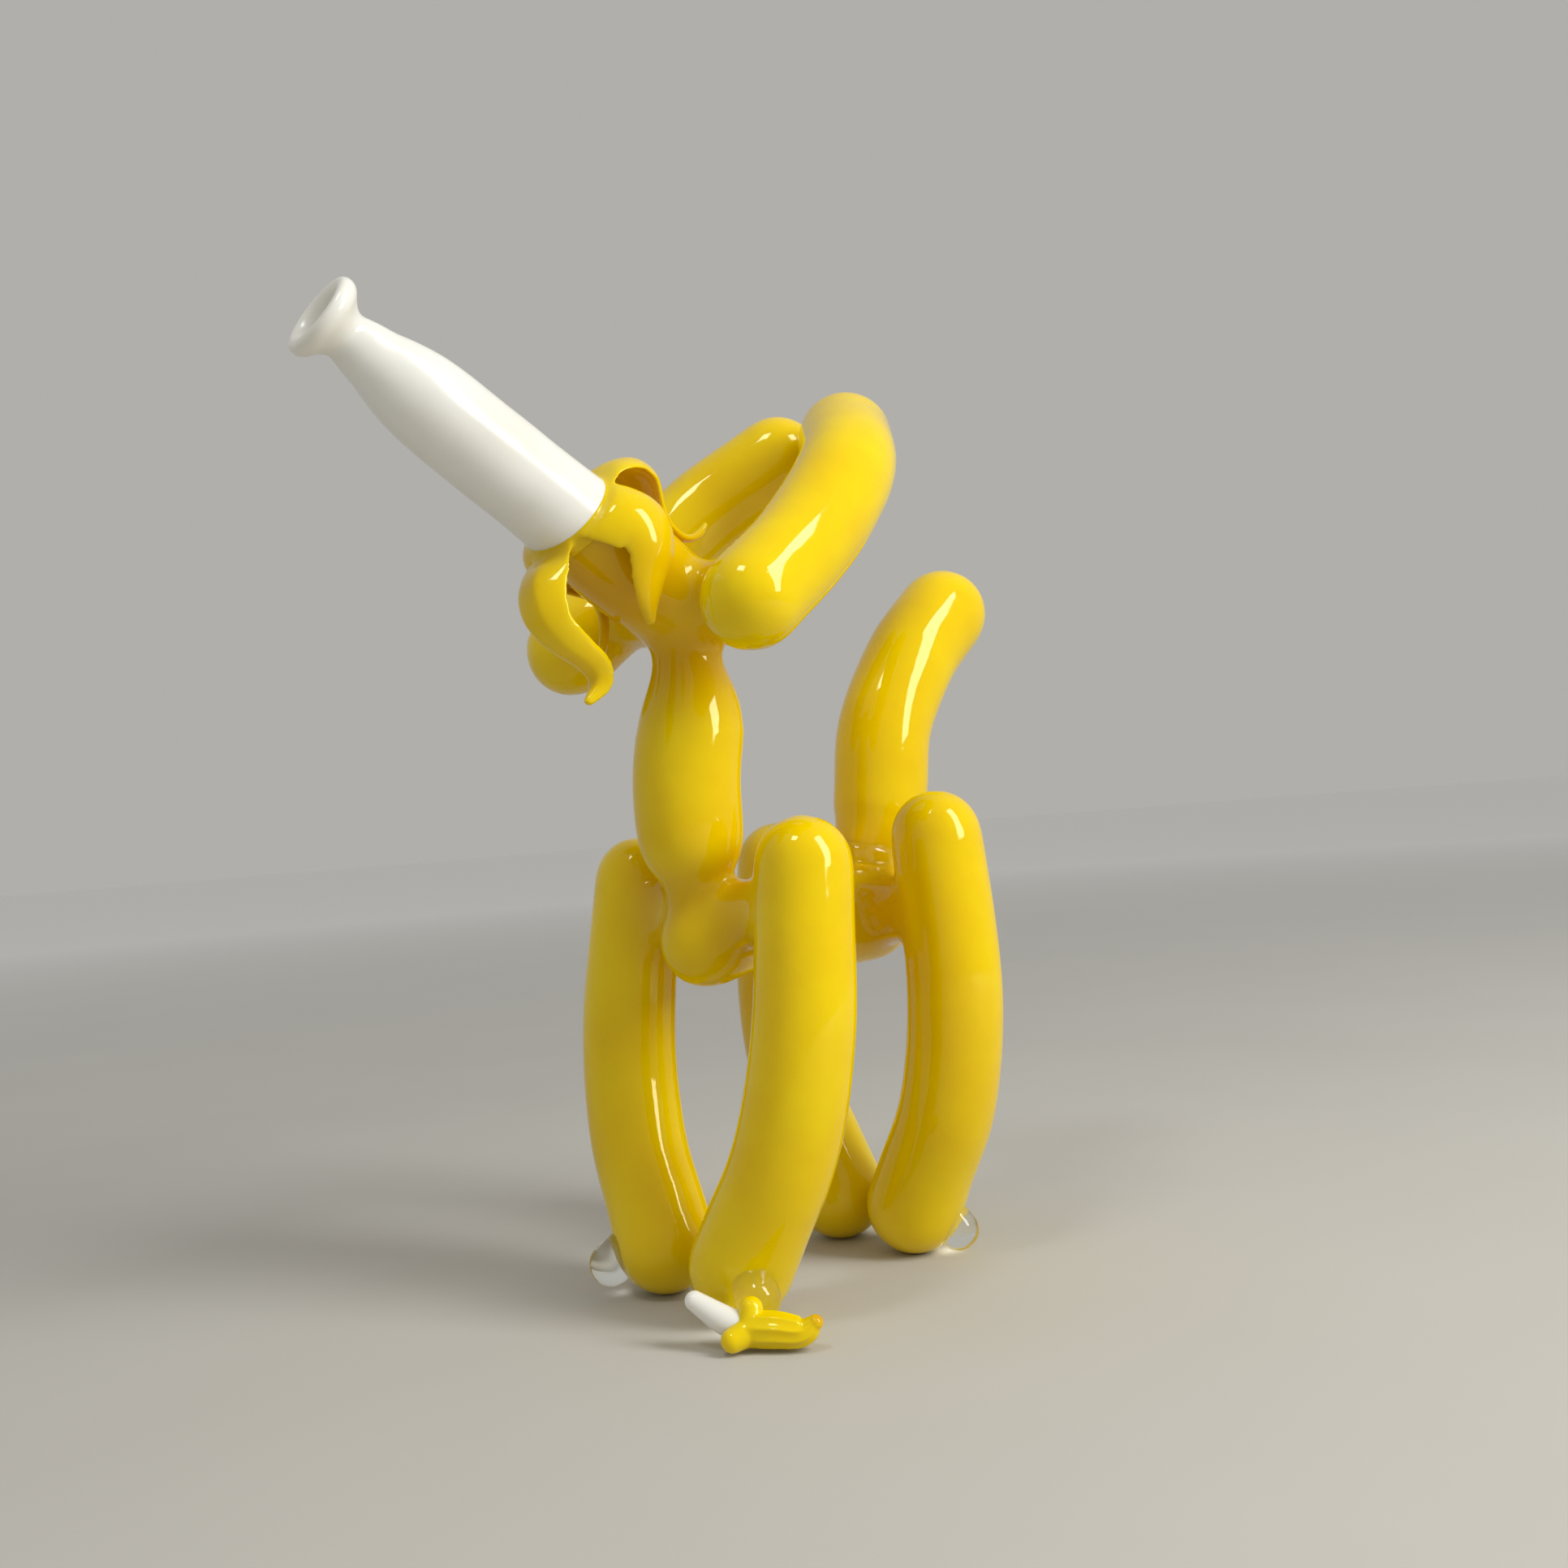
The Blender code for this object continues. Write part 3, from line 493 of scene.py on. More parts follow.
# %% Blow the neck and the head
NECK_FOOT = 5.5 * MM
NECK_LENGTH = 65.0 * MM
NECK_SWAY = (-1.0, -2.2, -2.4, 0.7, 0.0)
NECK_PINCH = 7.2
NECK_RADIUS = 12.6
NECK_SWELL = (0.1, 0.0, 0.05, 0.58, 0.88, 0.98, 1.0, 1.0, 1.0, 1.0, 1.0, 0.98, 0.9, 0.68, 0.38, 0.13, 0.0)
NECK_SEAL_RISE = 10.5 * MM
NECK_SEAL = (11.0 * MM, 0.9, 0.5)
HEAD_TILT = math.radians(32.5)
HEAD_LENGTH = 40.0 * MM
HEAD_RADII = [11.3 * MM, 12.2 * MM, 12.2 * MM, 10.8 * MM]
HEAD_OFFSET = Vector((0.0, 2.0, 6.6)) * MM
THROAT_SEAL_DROP = 1.0 * MM
THROAT_SEAL = (16.0 * MM, 0.8, 1.5)
# Painted shade under the head: an amber patch below its middle, which is also smoothed like a seal
JAW_SHADE_SHARE = 0.45
JAW_SHADE_DROP = 8.0
JAW_SHADE = (18.0 * MM, 0.7, 1.5)

neck_line = []
for index, sway in enumerate(NECK_SWAY):
    height = NECK_FOOT + NECK_LENGTH * index / (len(NECK_SWAY) - 1)
    neck_line.append(chest + Vector((0.0, sway * MM, height)))
neck_radii = [(NECK_PINCH + (NECK_RADIUS - NECK_PINCH) * swell) * MM for swell in NECK_SWELL]
bubble(body, neck_line, neck_radii, steps=80, round_start=False, round_end=False)
seals.append((chest + Vector((0.0, 0.0, NECK_SEAL_RISE)), *NECK_SEAL))

forward = Vector((0.0, -math.cos(HEAD_TILT), math.sin(HEAD_TILT)))
upward = Vector((0.0, math.sin(HEAD_TILT), math.cos(HEAD_TILT)))
sideward = Vector((1.0, 0.0, 0.0))
head_back = neck_line[-1] + HEAD_OFFSET
seat = head_back + forward * HEAD_LENGTH
bubble(body, [head_back, (head_back + seat) / 2, seat], HEAD_RADII, round_end=False)
seals.append((neck_line[-1] - Vector((0.0, 0.0, THROAT_SEAL_DROP)), *THROAT_SEAL))
# Painted shade: amber under the middle of the head, smoothed like a seal
seals.append((seat - forward * (HEAD_LENGTH * JAW_SHADE_SHARE) - upward * JAW_SHADE_DROP * MM, *JAW_SHADE))
print("head seat:", [round(x * 1000, 1) for x in seat])

# %% [markdown]
# ## Ears
#
# Each ear is one long bubble, bent like a handle. Its blunt lobe stands low beside the head, and the bubble
# runs back and up and curls in to meet the other at the tips. A mirror would make the second from the
# first, but the two lobes stand at different heights, so the same line is walked once for each side. A
# short thick waist seals each ear to the back of the head.

# %% Blow the ears
EAR_LINE = [Vector((34.1, -10.3, -3.2)), Vector((32.1, 10.9, 14.0)), Vector((27.2, 28.6, 30.6)),
            Vector((12.6, 44.4, 43.9))]
EAR_RADII = [11.3 * MM, 11.7 * MM, 11.7 * MM]
EAR_ROOT_SHARE = 0.17
EAR_ROOT_RADII = [9.6 * MM, 8.4 * MM, 9.6 * MM]
EAR_LOBE_RISE = {1: 0.9, -1: -1.0}
EAR_SEAL_SHARE = 0.55
EAR_SEAL = (13.0 * MM, 0.6, 1.5)
NAPE_SEAL = (16.0 * MM, 0.35, 1.5)

for side, lobe_rise in EAR_LOBE_RISE.items():
    ear_line = [head_back + Vector((point.x * side, point.y, point.z)) * MM for point in EAR_LINE]
    ear_line[0].z += lobe_rise * MM
    bubble(body, ear_line, EAR_RADII, steps=64)
    joint = on_line(ear_line, EAR_ROOT_SHARE)
    bubble(body, [head_back, (head_back + joint) / 2, joint], EAR_ROOT_RADII, steps=16,
           round_start=False, round_end=False)
    seals.append((head_back.lerp(joint, EAR_SEAL_SHARE), *EAR_SEAL))
seals.append((head_back, *NAPE_SEAL))
print("seals so far:", len(seals))

# %% [markdown]
# ## Tail
#
# The tail rises from a pinch at the rump, fattens, and leans back in one long curve to a round end. A
# straight bubble could be bent with a modifier. Seven places along its middle give the lean directly, and a
# radius for each gives the pinch.

# %% Blow the tail
TAIL_LINE = [Vector((0.0, 0.0, 0.0)), Vector((0.0, 1.2, 14.5)), Vector((0.0, 6.2, 22.5)),
             Vector((0.0, 8.8, 34.5)), Vector((0.0, 12.0, 50.0)), Vector((0.0, 24.5, 68.0)),
             Vector((0.0, 38.2, 80.3))]
TAIL_RADII = [8.6 * MM, 8.6 * MM, 11.35 * MM, 12.2 * MM, 12.2 * MM, 12.2 * MM, 12.2 * MM]
TAIL_SEAL = (11.0 * MM, 0.8, 1.5)

tail_line = [rump + point * MM for point in TAIL_LINE]
bubble(body, tail_line, TAIL_RADII, steps=84, round_start=False)
seals.append((tail_line[1], *TAIL_SEAL))
print("tail tip:", [round(x * 1000, 1) for x in tail_line[-1]], "faces:", len(body.faces))

# %% [markdown]
# ## Melting the bubbles together
#
# So far the bubbles only pass through each other, and real seals have no crease. A Boolean would keep a
# sharp line at every join. A voxel remesh takes the outside of them all as one skin with even faces, and
# smoothing that skin then lets each join flow. Everything is smoothed, to take the voxels' steps out, and
# what lies near a seal is smoothed almost as much again, which fills the crease as a flame does.

# %% Melt the bubbles into one skin
BODY_VOXEL = 1.02 * MM
ALL_PASSES = 26
SEAL_PASSES = 22
SETTLE = 0.5


def mesh_object(name, bm):
    """Turn a bmesh into a linked object at the origin."""
    bmesh.ops.recalc_face_normals(bm, faces=bm.faces)
    mesh = bpy.data.meshes.new(name)
    bm.to_mesh(mesh)
    bm.free()
    new = bpy.data.objects.new(name, mesh)
    bpy.context.scene.collection.objects.link(new)
    return new


def one_skin(bm, voxel):
    """Remesh crossing shells into one even skin and give it back as a bmesh."""
    rough = mesh_object("rough", bm)
    melt = rough.modifiers.new("melt", "REMESH")
    melt.mode = "VOXEL"
    melt.voxel_size = voxel
    graph = bpy.context.evaluated_depsgraph_get()
    skin = bmesh.new()
    skin.from_object(rough, graph)
    bpy.data.objects.remove(rough)
    return skin


def smooth(bm, verts, passes):
    """Let some vertices settle towards their neighbours."""
    for _ in range(passes):
        bmesh.ops.smooth_vert(bm, verts=verts, factor=SETTLE,
                              use_axis_x=True, use_axis_y=True, use_axis_z=True)


def in_flow(place):
    """Tell whether a place is near enough to a seal to flow with it."""
    return any((place - centre).length < radius * flow for centre, radius, _, flow in seals)


body = one_skin(body, BODY_VOXEL)
print("one skin:", len(body.faces), "faces")
smooth(body, body.verts, ALL_PASSES)
near_seals = [vert for vert in body.verts if in_flow(vert.co)]
smooth(body, near_seals, SEAL_PASSES)
print("vertices near a seal:", len(near_seals))

# %% [markdown]
# ## The breath in the glass
#
# Blown glass is never a perfect tube: it swells and thins by a tenth or two of a millimetre over a
# centimetre or two, and that is what makes its streaks of light waver. A Displace modifier could do it with
# a texture. Here a slow noise moves each vertex along its normal, and in the same step the skin gets back
# the few tenths of a millimetre that it lost when it was smoothed. The amber of the seals, partly thicker
# glass and partly painted shade in the creases and under the head, is then written on the vertices.

# %% Breathe on the skin
SWELL = 0.16 * MM
SWELL_SCALE = 62.0
LOST = 0.28 * MM
AMBER_REACH = 1.6


def breathe(bm, amount, scale, lost=0.0):
    """Move each vertex along its normal by a slow noise, and by what smoothing took from it."""
    bm.normal_update()
    for vert in bm.verts:
        vert.co += vert.normal * (lost + amount * noise.noise(vert.co * scale))


def paint_amber(bm, seals):
    """Write on each vertex how amber the glass is there, for thicker glass at seals and for painted shade."""
    layer = bm.verts.layers.float.new("seal_and_shade")
    for vert in bm.verts:
        deepest = 0.0
        for centre, radius, strength, _ in seals:
            near = 1.0 - (vert.co - centre).length / (radius * AMBER_REACH)
            if near > 0.0:
                deepest = max(deepest, strength * near * near * (3.0 - 2.0 * near))
        vert[layer] = deepest


def finished(name, bm, material, slot, *nodes):
    """Make the finished piece: smooth, in its glass, riding on the dog in place of its solids."""
    piece = mesh_object(name, bm)
    piece.data.shade_smooth()
    piece.data.materials.append(material)
    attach(piece, "root")
    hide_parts(*nodes)
    if material == clear_glass:
        piece.visible_shadow = False
    corners = [vert.co for vert in piece.data.vertices]
    low = [round(min(corner[axis] for corner in corners) * 1000, 1) for axis in range(3)]
    high = [round(max(corner[axis] for corner in corners) * 1000, 1) for axis in range(3)]
    triangles = sum(len(face.vertices) - 2 for face in piece.data.polygons)
    print(name, triangles, "triangles, from", low, "to", high, "mm")


breathe(body, SWELL, SWELL_SCALE, LOST)
bmesh.ops.bisect_plane(body, geom=list(body.verts) + list(body.edges) + list(body.faces),
                       plane_co=(0.0, 0.0, 0.0), plane_no=(0.0, 0.0, -1.0), clear_outer=True)
bmesh.ops.holes_fill(body, edges=[edge for edge in body.edges if edge.is_boundary], sides=0)
paint_amber(body, seals)
finished("dog_glass", body, yellow_glass, "yellow_glass", "dog_body")

# %% [markdown]
# ## The peel
#
# Around the foot of the snout the head's skin is peeled back in five strips, as on a fruit. They spring
# from one short skirt, which doesn't stand square to the snout but laps further over it underneath. A ring
# that is turned as a whole would stand off the snout on one side. So the skirt's outline is drawn once and
# spun, and each of its vertices is then moved along the snout.

# %% Spin the skirt
SEAM_TURN = math.radians(50.0)
SEAM_MEAN = 0.3
SEAM_TILT = 1.6
SKIRT_OUTLINE = [(10.4, -0.5), (11.0, -0.3), (11.35, 0.8), (11.8, 2.2), (12.5, 3.6), (11.6, 4.2), (10.2, 3.0),
                 (10.0, 0.6)]


def from_seat(back, up, side):
    """Turn millimetres back along the head, up from it and out to its left into a place."""
    return seat + (upward * up - forward * back + sideward * side) * MM


def seam(angle):
    """Tell how far back the peel starts, in millimetres, at an angle from the top."""
    return SEAM_MEAN + SEAM_TILT * math.cos(angle - SEAM_TURN)


def spun(bm, outline, sides):
    """Spin a closed outline of (radius, height) pairs in millimetres once around Z."""
    ring = [bm.verts.new((radius * MM, 0.0, height * MM)) for radius, height in outline]
    edges = [bm.edges.new((ring[i - 1], ring[i])) for i in range(len(ring))]
    bmesh.ops.spin(bm, geom=edges, axis=(0.0, 0.0, 1.0), cent=(0.0, 0.0, 0.0), angle=math.tau,
                   steps=sides, use_merge=True)
    bmesh.ops.recalc_face_normals(bm, faces=bm.faces)


def rounded(outline, steps):
    """Draw a finer closed outline through the points of a coarse one."""
    loop = [Vector((radius, height, 0.0)) for radius, height in outline]
    closed = loop[-2:] + loop + loop[:3]
    fine = []
    for index in range(len(outline)):
        for step in range(steps):
            place = on_line(closed, (index + 2 + step / steps) / (len(closed) - 1))
            fine.append((place.x, place.y))
    return fine


peel = bmesh.new()
spun(peel, rounded(SKIRT_OUTLINE, steps=3), sides=96)
for vert in peel.verts:
    angle = math.atan2(vert.co.x, vert.co.y)
    back = vert.co.z / MM + seam(angle)
    vert.co = from_seat(back, vert.co.y / MM, vert.co.x / MM)
print("skirt:", len(peel.faces), "faces")

# %% [markdown]
# A strip is a flattened bubble. A bent sheet with a thickness could make it, but its edges would be square.
# Here a ring is extruded along a smooth line, and each ring is drawn out wide, thin and arched, with round
# edges. Every vertex carries its own angle round the ring, which extruding hands on. The rings are turned
# as little as possible on the way, so that the strip doesn't twist. Near the skirt they are bent round the
# snout, and further out they let go of it.

# %% Bend one strip of peel
PEEL_ROOT_RADIUS = 11.2
PEEL_ROOT_BACK = 0.8
PEEL_THICKNESS = 2.0 * MM
STRIP_ROWS = 60
STRIP_SIDES = 36
LET_GO = 0.3
TWIST_END = 0.35
LOOK_AROUND = 0.01
THICKEST = 0.8
WIDEST_SWING = 0.85


def strip_rows(angle, line, widths, twist):
    """Walk along a strip and give each row's place, frame, width and thickness; twist turns it over."""
    turn = math.radians(angle)
    outward = upward * math.cos(turn) + sideward * math.sin(turn)
    across = sideward * math.cos(turn) - upward * math.sin(turn)
    points = [seat + outward * PEEL_ROOT_RADIUS * MM - forward * (seam(turn) + PEEL_ROOT_BACK) * MM]
    points += [from_seat(*place) for place in line]
    for row in range(STRIP_ROWS + 1):
        share = row / STRIP_ROWS
        run = (on_line(points, share + LOOK_AROUND) - on_line(points, share - LOOK_AROUND)).normalized()
        across = (across - run * across.dot(run)).normalized()
        if share < TWIST_END:
            across = Matrix.Rotation(math.radians(twist) / (TWIST_END * STRIP_ROWS), 3, run) @ across
        normal = across.cross(run)
        width = on_line(widths, share) * MM
        thick = min(PEEL_THICKNESS, width * THICKEST)
        yield share, on_line(points, share), across.copy(), normal, width, thick


def bound_place(centre, across, swing, lift):
    """Find a place of a row that is still bent round the snout: a swing away from its middle, lifted off."""
    back = (seat - centre).dot(forward)
    spoke = centre - seat + forward * back
    radius = spoke.length
    spoke.normalize()
    tangent = spoke.cross(forward)
    tangent *= math.copysign(1.0, tangent.dot(across))
    spread = spoke * math.cos(swing) + tangent * math.sin(swing)
    here = math.atan2(spread.dot(sideward), spread.dot(upward))
    middle = math.atan2(spoke.dot(sideward), spoke.dot(upward))
    return seat - forward * (back + (seam(here) - seam(middle)) * MM) + spread * (radius + lift)


def strip(bm, angle, line, widths, arch, keel=0.0, twist=0.0):
    """Draw a strip that starts on the skirt, at an angle from the top, and runs along a line."""
    layer = bm.verts.layers.float.get("turn") or bm.verts.layers.float.new("turn")
    ring = bmesh.ops.create_circle(bm, segments=STRIP_SIDES, radius=1.0)["verts"]
    for vert in ring:
        vert[layer] = math.atan2(vert.co.y, vert.co.x)
    edges = list({edge for vert in ring for edge in vert.link_edges})
    ends = [edges]
    for share, centre, across, normal, width, thick in strip_rows(angle, line, widths, twist):
        if share > 0.0:
            grown = bmesh.ops.extrude_edge_only(bm, edges=edges)["geom"]
            edges = [item for item in grown if isinstance(item, bmesh.types.BMEdge) and item.is_boundary]
            ring = [item for item in grown if isinstance(item, bmesh.types.BMVert)]
        hold = min(share / LET_GO, 1.0)
        hold = hold * hold * (3.0 - 2.0 * hold)
        for vert in ring:
            t = math.cos(vert[layer])
            lift = math.sin(vert[layer]) * thick / 2
            drop = t * t + (abs(t) - t * t) * keel
            free = centre + across * t * width / 2 + normal * (lift - width * arch * drop)
            reach = (centre - seat).cross(forward).length
            bound = bound_place(centre, across, t * min(width / 2 / reach, WIDEST_SWING), lift)
            vert.co = bound.lerp(free, hold)
    ends.append(edges)
    for hole in ends:
        bmesh.ops.holes_fill(bm, edges=hole, sides=STRIP_SIDES)


print("a strip has", STRIP_ROWS + 1, "rows of", STRIP_SIDES, "vertices")

# %% [markdown]
# The five strips follow the photograph: one arches over the top and hooks up behind, one hangs like a hood
# on the near side, two curl down in front, and one lies along the far side. Each has the angle where it
# starts, in degrees from the top towards the dog's left, and the places that it runs through, in
# millimetres back, up and to the left of the head's front end. Its widths, its arch, how keeled it is and
# how many degrees it turns over follow. Joined as they are, the strips would meet the skirt in a crease, so
# one fine remesh melts them to it.

# %% Peel the skin back
PEEL_VOXEL = 0.42 * MM
PEEL_PASSES = 8
STRIPS = {
    "top": (26, [(3.2, 14.8, 2.2), (5.4, 18.1, 2.0), (8.2, 20.4, 1.9), (11.6, 21.3, 2.0),
                 (15.0, 20.6, 2.0), (18.0, 18.3, 2.0), (20.6, 15.8, 2.2), (23.8, 14.1, 2.4),
                 (27.4, 13.7, 2.6), (30.2, 14.6, 3.0), (32.0, 17.4, 3.0), (32.5, 20.8, 3.0)],
            [16.0, 16.0, 15.5, 15.0, 14.0, 12.5, 10.0, 7.4, 5.2, 4.0, 3.2, 2.6, 1.6], 0.22, 0.0, 10.0),
    "left": (90, [(3.4, 0.6, 13.4), (6.2, 1.3, 15.8), (9.6, 1.4, 17.4), (12.9, -0.4, 18.2),
                  (15.8, -4.2, 18.0), (17.8, -8.6, 17.0), (20.3, -13.2, 16.0), (23.4, -17.0, 15.0)],
             [18.0, 17.6, 17.2, 16.6, 15.0, 12.6, 9.6, 6.0, 2.0], 0.18, 0.0, 0.0),
    "lower_left": (170, [(0.7, -12.4, 1.6), (-0.2, -16.4, 2.7), (0.0, -20.9, 4.1), (2.0, -25.2, 5.6),
                         (5.5, -28.2, 6.8), (10.3, -29.6, 7.7), (15.2, -29.8, 8.0), (19.5, -30.6, 8.1),
                         (21.4, -33.2, 8.0), (20.6, -38.4, 8.0)],
                   [13.0, 13.8, 14.4, 13.8, 12.8, 11.2, 9.8, 8.5, 7.5, 5.8, 2.0], 0.16, 0.6, 0.0),
    "lower_right": (231, [(1.4, -9.2, -10.4), (5.4, -9.2, -12.6), (12.5, -7.2, -13.6), (19.4, -5.0, -14.0),
                          (24.4, -5.6, -13.6), (27.6, -9.6, -13.0), (29.0, -14.8, -12.0),
                          (29.6, -20.0, -11.0)],
                    [12.5, 12.0, 11.0, 9.0, 6.5, 4.6, 3.8, 3.0, 1.8], 0.14, 0.3, 0.0),
    "right": (316, [(2.2, 12.4, -8.4), (5.0, 16.2, -8.2), (8.4, 18.4, -8.8), (12.8, 16.6, -12.0),
                    (17.0, 11.6, -15.4), (20.4, 5.0, -17.0), (22.5, -1.0, -16.6)],
              [14.5, 15.0, 15.0, 13.5, 11.0, 8.0, 5.0, 1.8], 0.17, 0.0, 0.0),
}

# Painted shade: an amber patch on the peel under the snout's root, which only colours and doesn't flow
CHIN_SHADE = (from_seat(2.0, -9.0, 4.0), 8.0 * MM, 0.4, 0.0)

for angle, line, widths, arch, keel, twist in STRIPS.values():
    strip(peel, angle, line, widths, arch, keel, twist)
peel = one_skin(peel, PEEL_VOXEL)
smooth(peel, peel.verts, PEEL_PASSES)
paint_amber(peel, [CHIN_SHADE, *seals])
finished("peel_glass", peel, yellow_glass, "yellow_glass", "dog_body")

# %% [markdown]
# ## The snout
#
# The snout is round all the way: a thick flared lip, a narrow throat, a shoulder that swells towards the
# head. It could be a solid shape with its bore cut out. Drawing its wall once, outside and inside, as a
# closed row of edges, gives lip, throat and bore together, and one spin round the axis makes the tube. A
# smooth line through the drawn points rounds the profile. The far end is open too, and the head closes it.

# %% Spin the snout
SNOUT_LENGTH = 66.2
SNOUT_BEND = 0.1
SNOUT_BEND_START = 40.0
SNOUT_BEND_RUN = 26.5
SNOUT_SWELL = 0.15 * MM
SNOUT_SWELL_SCALE = 70.0
SNOUT_OUTSIDE = [(7.3, -0.10), (8.6, 0.15), (9.25, 1.1), (9.25, 2.3), (8.6, 3.4), (7.4, 4.35), (6.2, 5.5),
                 (5.45, 6.7), (5.35, 7.8), (5.75, 9.3), (6.33, 11.4), (7.03, 14.7), (8.03, 18.0),
                 (8.86, 21.3), (9.5, 24.7), (9.86, 28.0), (10.08, 31.4), (10.19, 34.8), (10.3, 41.5),
                 (10.5, 48.0), (10.55, 55.0), (10.8, 62.0), (11.05, 66.5), (11.2, 68.8), (10.6, 69.6)]
SNOUT_INSIDE = [(8.6, 67.5), (8.1, 50.0), (7.8, 34.0), (7.2, 24.0), (5.6, 17.0), (3.9, 11.0), (3.3, 7.6),
                (3.7, 5.2), (4.7, 2.8), (6.0, 0.75)]

snout = bmesh.new()
spun(snout, rounded(SNOUT_OUTSIDE + SNOUT_INSIDE, steps=3), sides=96)
lean = (-forward).to_track_quat("Z", "X").to_matrix().to_4x4()
stand = Matrix.Translation(seat + forward * (SNOUT_LENGTH * MM)) @ lean
bmesh.ops.transform(snout, matrix=stand, verts=snout.verts)
for vert in snout.verts:
    along = (vert.co - seat).dot(forward) / MM
    vert.co += upward * SNOUT_BEND * MM * max(0.0, (along - SNOUT_BEND_START) / SNOUT_BEND_RUN) ** 2
breathe(snout, SNOUT_SWELL, SNOUT_SWELL_SCALE)
finished("snout_glass", snout, white_glass, "white_glass", "snout")

# %% [markdown]
# ## The clear wrap under the tail
#
# A thread of clear rod is wound round the pinch between the rump and the tail. It could be wound as a real
# thread, turn by turn. Only a few thin bright arcs of it are seen, so a spun ring with a bulging outside
# fills the pinch, and a slight wave keeps it from looking machined.

# %% Wind the wrap
WRAP_LEAN = math.radians(25.0)
WRAP_OUTLINE = [(8.0, -2.5), (9.0, -2.7), (9.9, -2.0), (10.4, -0.7), (10.4, 0.8), (9.9, 2.1), (9.0, 2.8),
                (8.0, 2.6), (7.8, 0.0)]
WRAP_WAVE = 0.5 * MM
WRAP_WAVES = 2.0
WRAP_WAVE_START = 0.6

wrap = bmesh.new()
spun(wrap, rounded(WRAP_OUTLINE, steps=4), sides=64)
for vert in wrap.verts:
    turn = math.atan2(vert.co.y, vert.co.x)
    vert.co.z += WRAP_WAVE * math.sin(turn * WRAP_WAVES + WRAP_WAVE_START)
bmesh.ops.transform(wrap, matrix=Matrix.Translation(tail_line[1]) @ Matrix.Rotation(-WRAP_LEAN, 4, "X"),
                    verts=wrap.verts)
finished("tail_wrap", wrap, clear_glass, "clear_glass", "tail_ring")

# %% [markdown]
# ## Drops on the feet
#
# Each foot has one small clear drop melted onto its outer corner, hanging a little, like a claw. A ball
# would only touch the foot. A drop is therefore a short fat bubble that starts inside the foot and ends
# round and low outside it.

# %% Melt on the drops
# Each drop's turn in degrees from the dog's left, its reach and its height in millimetres
DROPS = {
    "front_left": (-26.0, 12.6, 8.0),
    "front_right": (-127.0, 13.2, 7.8),
    "rear_left": (28.0, 10.6, 5.6),
    "rear_right": (136.0, 11.0, 5.7),
}
DROP_ROOT_RISE = 6.5 * MM
DROP_RADII = [4.4 * MM, 5.2 * MM, 5.2 * MM]
DROP_SWELL = 0.2 * MM
DROP_SWELL_SCALE = 180.0


def drop_line(name):
    """Give the middle line of a drop, from inside its foot to its round end."""
    turn, reach, height = DROPS[name]
    foot = legs[name][0]
    root = foot + Vector((0.0, 0.0, DROP_ROOT_RISE))
    end = foot + Vector((math.cos(math.radians(turn)), math.sin(math.radians(turn)), 0.0)) * reach * MM
    end.z = height * MM
    return [root, (root + end) / 2, end]


for name in DROPS:
    drop = bmesh.new()
    bubble(drop, drop_line(name), DROP_RADII, steps=16, sides=40)
    breathe(drop, DROP_SWELL, DROP_SWELL_SCALE)
    finished("drop_glass_" + name, drop, clear_glass, "clear_glass", "drop_" + name)

# %% [markdown]
# ## The small fruit at the front foot
#
# On the front left drop hangs a small half-peeled fruit, about three centimetres long. Its skin is a bent
# bubble with ridges along it, two stubby flaps where it is peeled, and a darker, clearer tip. The ridges
# could be a bump in the material. Here each ring of the bubble is drawn in between them, because they catch
# the light as real edges do.

# %% Shape the fruit's skin
FRUIT_TURN = math.radians(32.0)
SKIN_LENGTH = 14.0 * MM
SKIN_RADII = [3.8 * MM, 3.85 * MM, 3.1 * MM, 1.7 * MM]
SKIN_PATH = ((0.0, 0.0), (0.4, 0.0), (0.8, -0.2), (1.0, 1.0))
SKIN_VOXEL = 0.17 * MM
SKIN_PASSES = 2
STALK_LIFT = 1.6 * MM
FLAP_RADII = [3.3 * MM, 3.0 * MM, 2.6 * MM]
UPPER_FLAP_RISE = 4.0
UPPER_FLAP_IN = 1.0
LOWER_FLAP_BACK = 3.0
LOWER_FLAP_OUT = 3.4
LOWER_FLAP_HEIGHT = 3.0 * MM
RIDGES = 9
RIDGE_DEPTH = 0.13
RIDGE_CREST = 1.02
RIDGE_FADE = 0.6
RIDGE_ROUNDING = 0.8
WAIST_OUT = 8.6
WAIST_ALONG = 0.8
WAIST_HEIGHT = 4.2 * MM
WAIST_FLOW = 2.0 * MM
WAIST_PASSES = 24
TIP_SEAL_OUT = 1.2
TIP_SEAL = (1.9 * MM, 1.0, 0.0)

along = Vector((math.cos(FRUIT_TURN), math.sin(FRUIT_TURN), 0.0))
outward = Vector((math.sin(FRUIT_TURN), -math.cos(FRUIT_TURN), 0.0))
up = Vector((0.0, 0.0, 1.0))
waist = drop_line("front_left")[-1] + outward * WAIST_OUT * MM + along * WAIST_ALONG * MM
waist.z = WAIST_HEIGHT


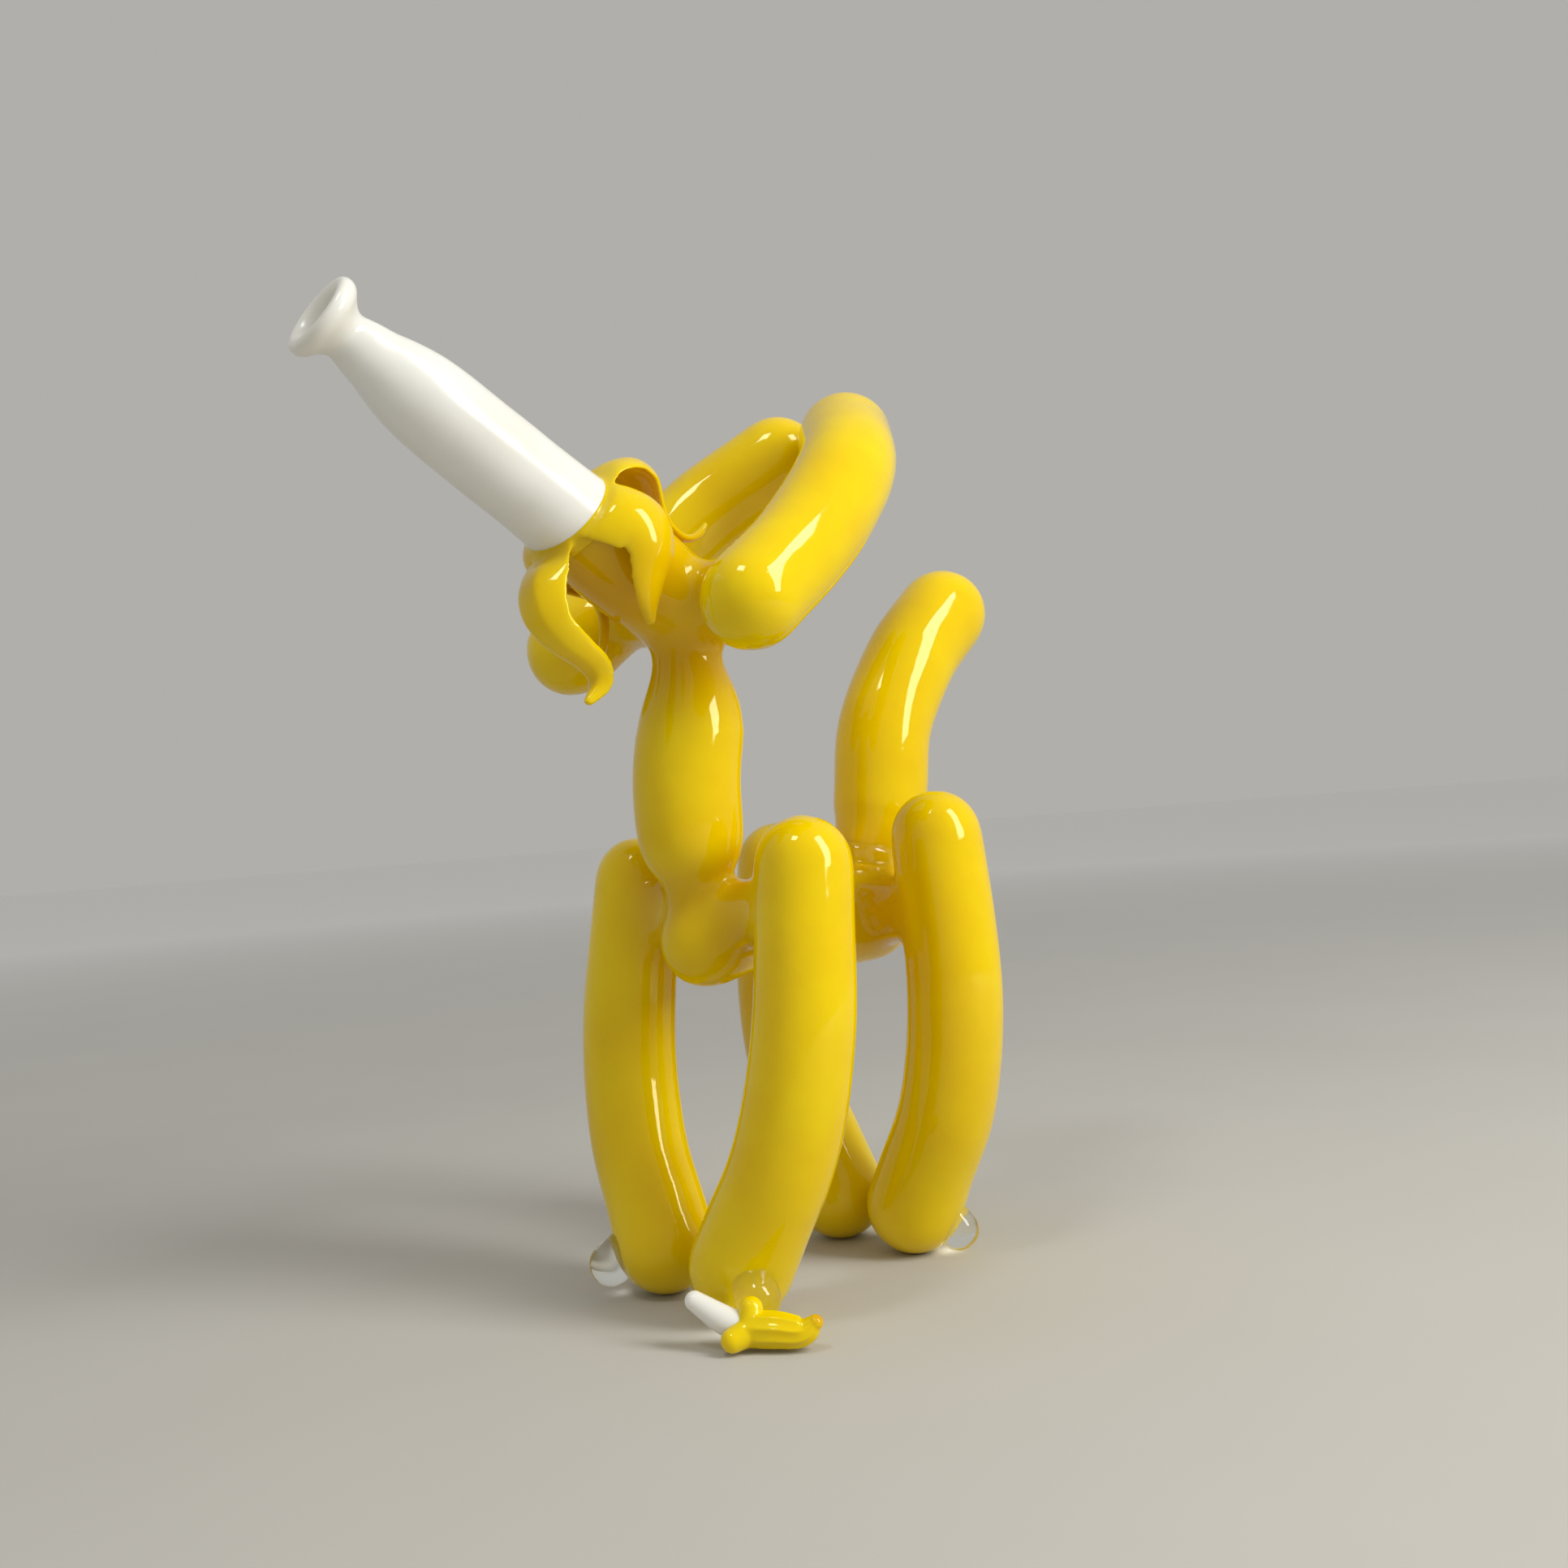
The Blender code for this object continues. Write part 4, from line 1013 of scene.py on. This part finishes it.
def ridges(angle, share):
    """Draw a ring in between its ridges, least at the ends."""
    fade = math.sin(math.pi * share) ** RIDGE_FADE
    groove = abs(math.sin(RIDGES * angle / 2)) ** RIDGE_ROUNDING
    return RIDGE_CREST - RIDGE_DEPTH * fade * groove


skin_line = [waist + along * SKIN_LENGTH * run + up * STALK_LIFT * lift for run, lift in SKIN_PATH]
skin = bmesh.new()
bubble(skin, skin_line, SKIN_RADII, steps=40, sides=90, ridge=ridges)
upper = waist + up * UPPER_FLAP_RISE * MM - outward * UPPER_FLAP_IN * MM
lower = waist - along * LOWER_FLAP_BACK * MM + outward * LOWER_FLAP_OUT * MM
lower.z = LOWER_FLAP_HEIGHT
for end in (upper, lower):
    bubble(skin, [waist, (waist + end) / 2, end], FLAP_RADII, steps=10, sides=32)
skin = one_skin(skin, SKIN_VOXEL)
smooth(skin, skin.verts, SKIN_PASSES)
smooth(skin, [vert for vert in skin.verts if (vert.co - waist).dot(along) < WAIST_FLOW], WAIST_PASSES)
paint_amber(skin, [(skin_line[-1] + (along + up) * TIP_SEAL_OUT * MM, *TIP_SEAL)])
finished("small_fruit_skin", skin, yellow_glass, "yellow_glass", "charm_skin")

# %% [markdown]
# The bare fruit comes out white on the other side. It could run on along the skin's own line, but it leaves
# the skin steeper than that, so it is a bubble of its own that starts inside the skin and curves upwards.

# %% Put in the bare fruit
BARE_LENGTH = 12.0 * MM
BARE_RISE = 5.8 * MM
BARE_RADII = [2.85 * MM, 2.95 * MM, 2.1 * MM]
BARE_ROOT = 1.0
BARE_BEND = (0.5, 0.35)

bare_line = [waist - along * BARE_ROOT * MM,
             waist - along * BARE_LENGTH * BARE_BEND[0] + up * BARE_RISE * BARE_BEND[1],
             waist - along * BARE_LENGTH + up * BARE_RISE]
bare = bmesh.new()
bubble(bare, bare_line, BARE_RADII, steps=24, sides=40)
finished("small_fruit", bare, white_glass, "white_glass", "charm_fruit")

# %% [markdown]
# ## Measuring and finishing
#
# The glass must stay inside the box of the solids. Each finished piece has printed its own box above, and
# the last line brings the scene up to date.

# %% Finish
bpy.context.view_layer.update()
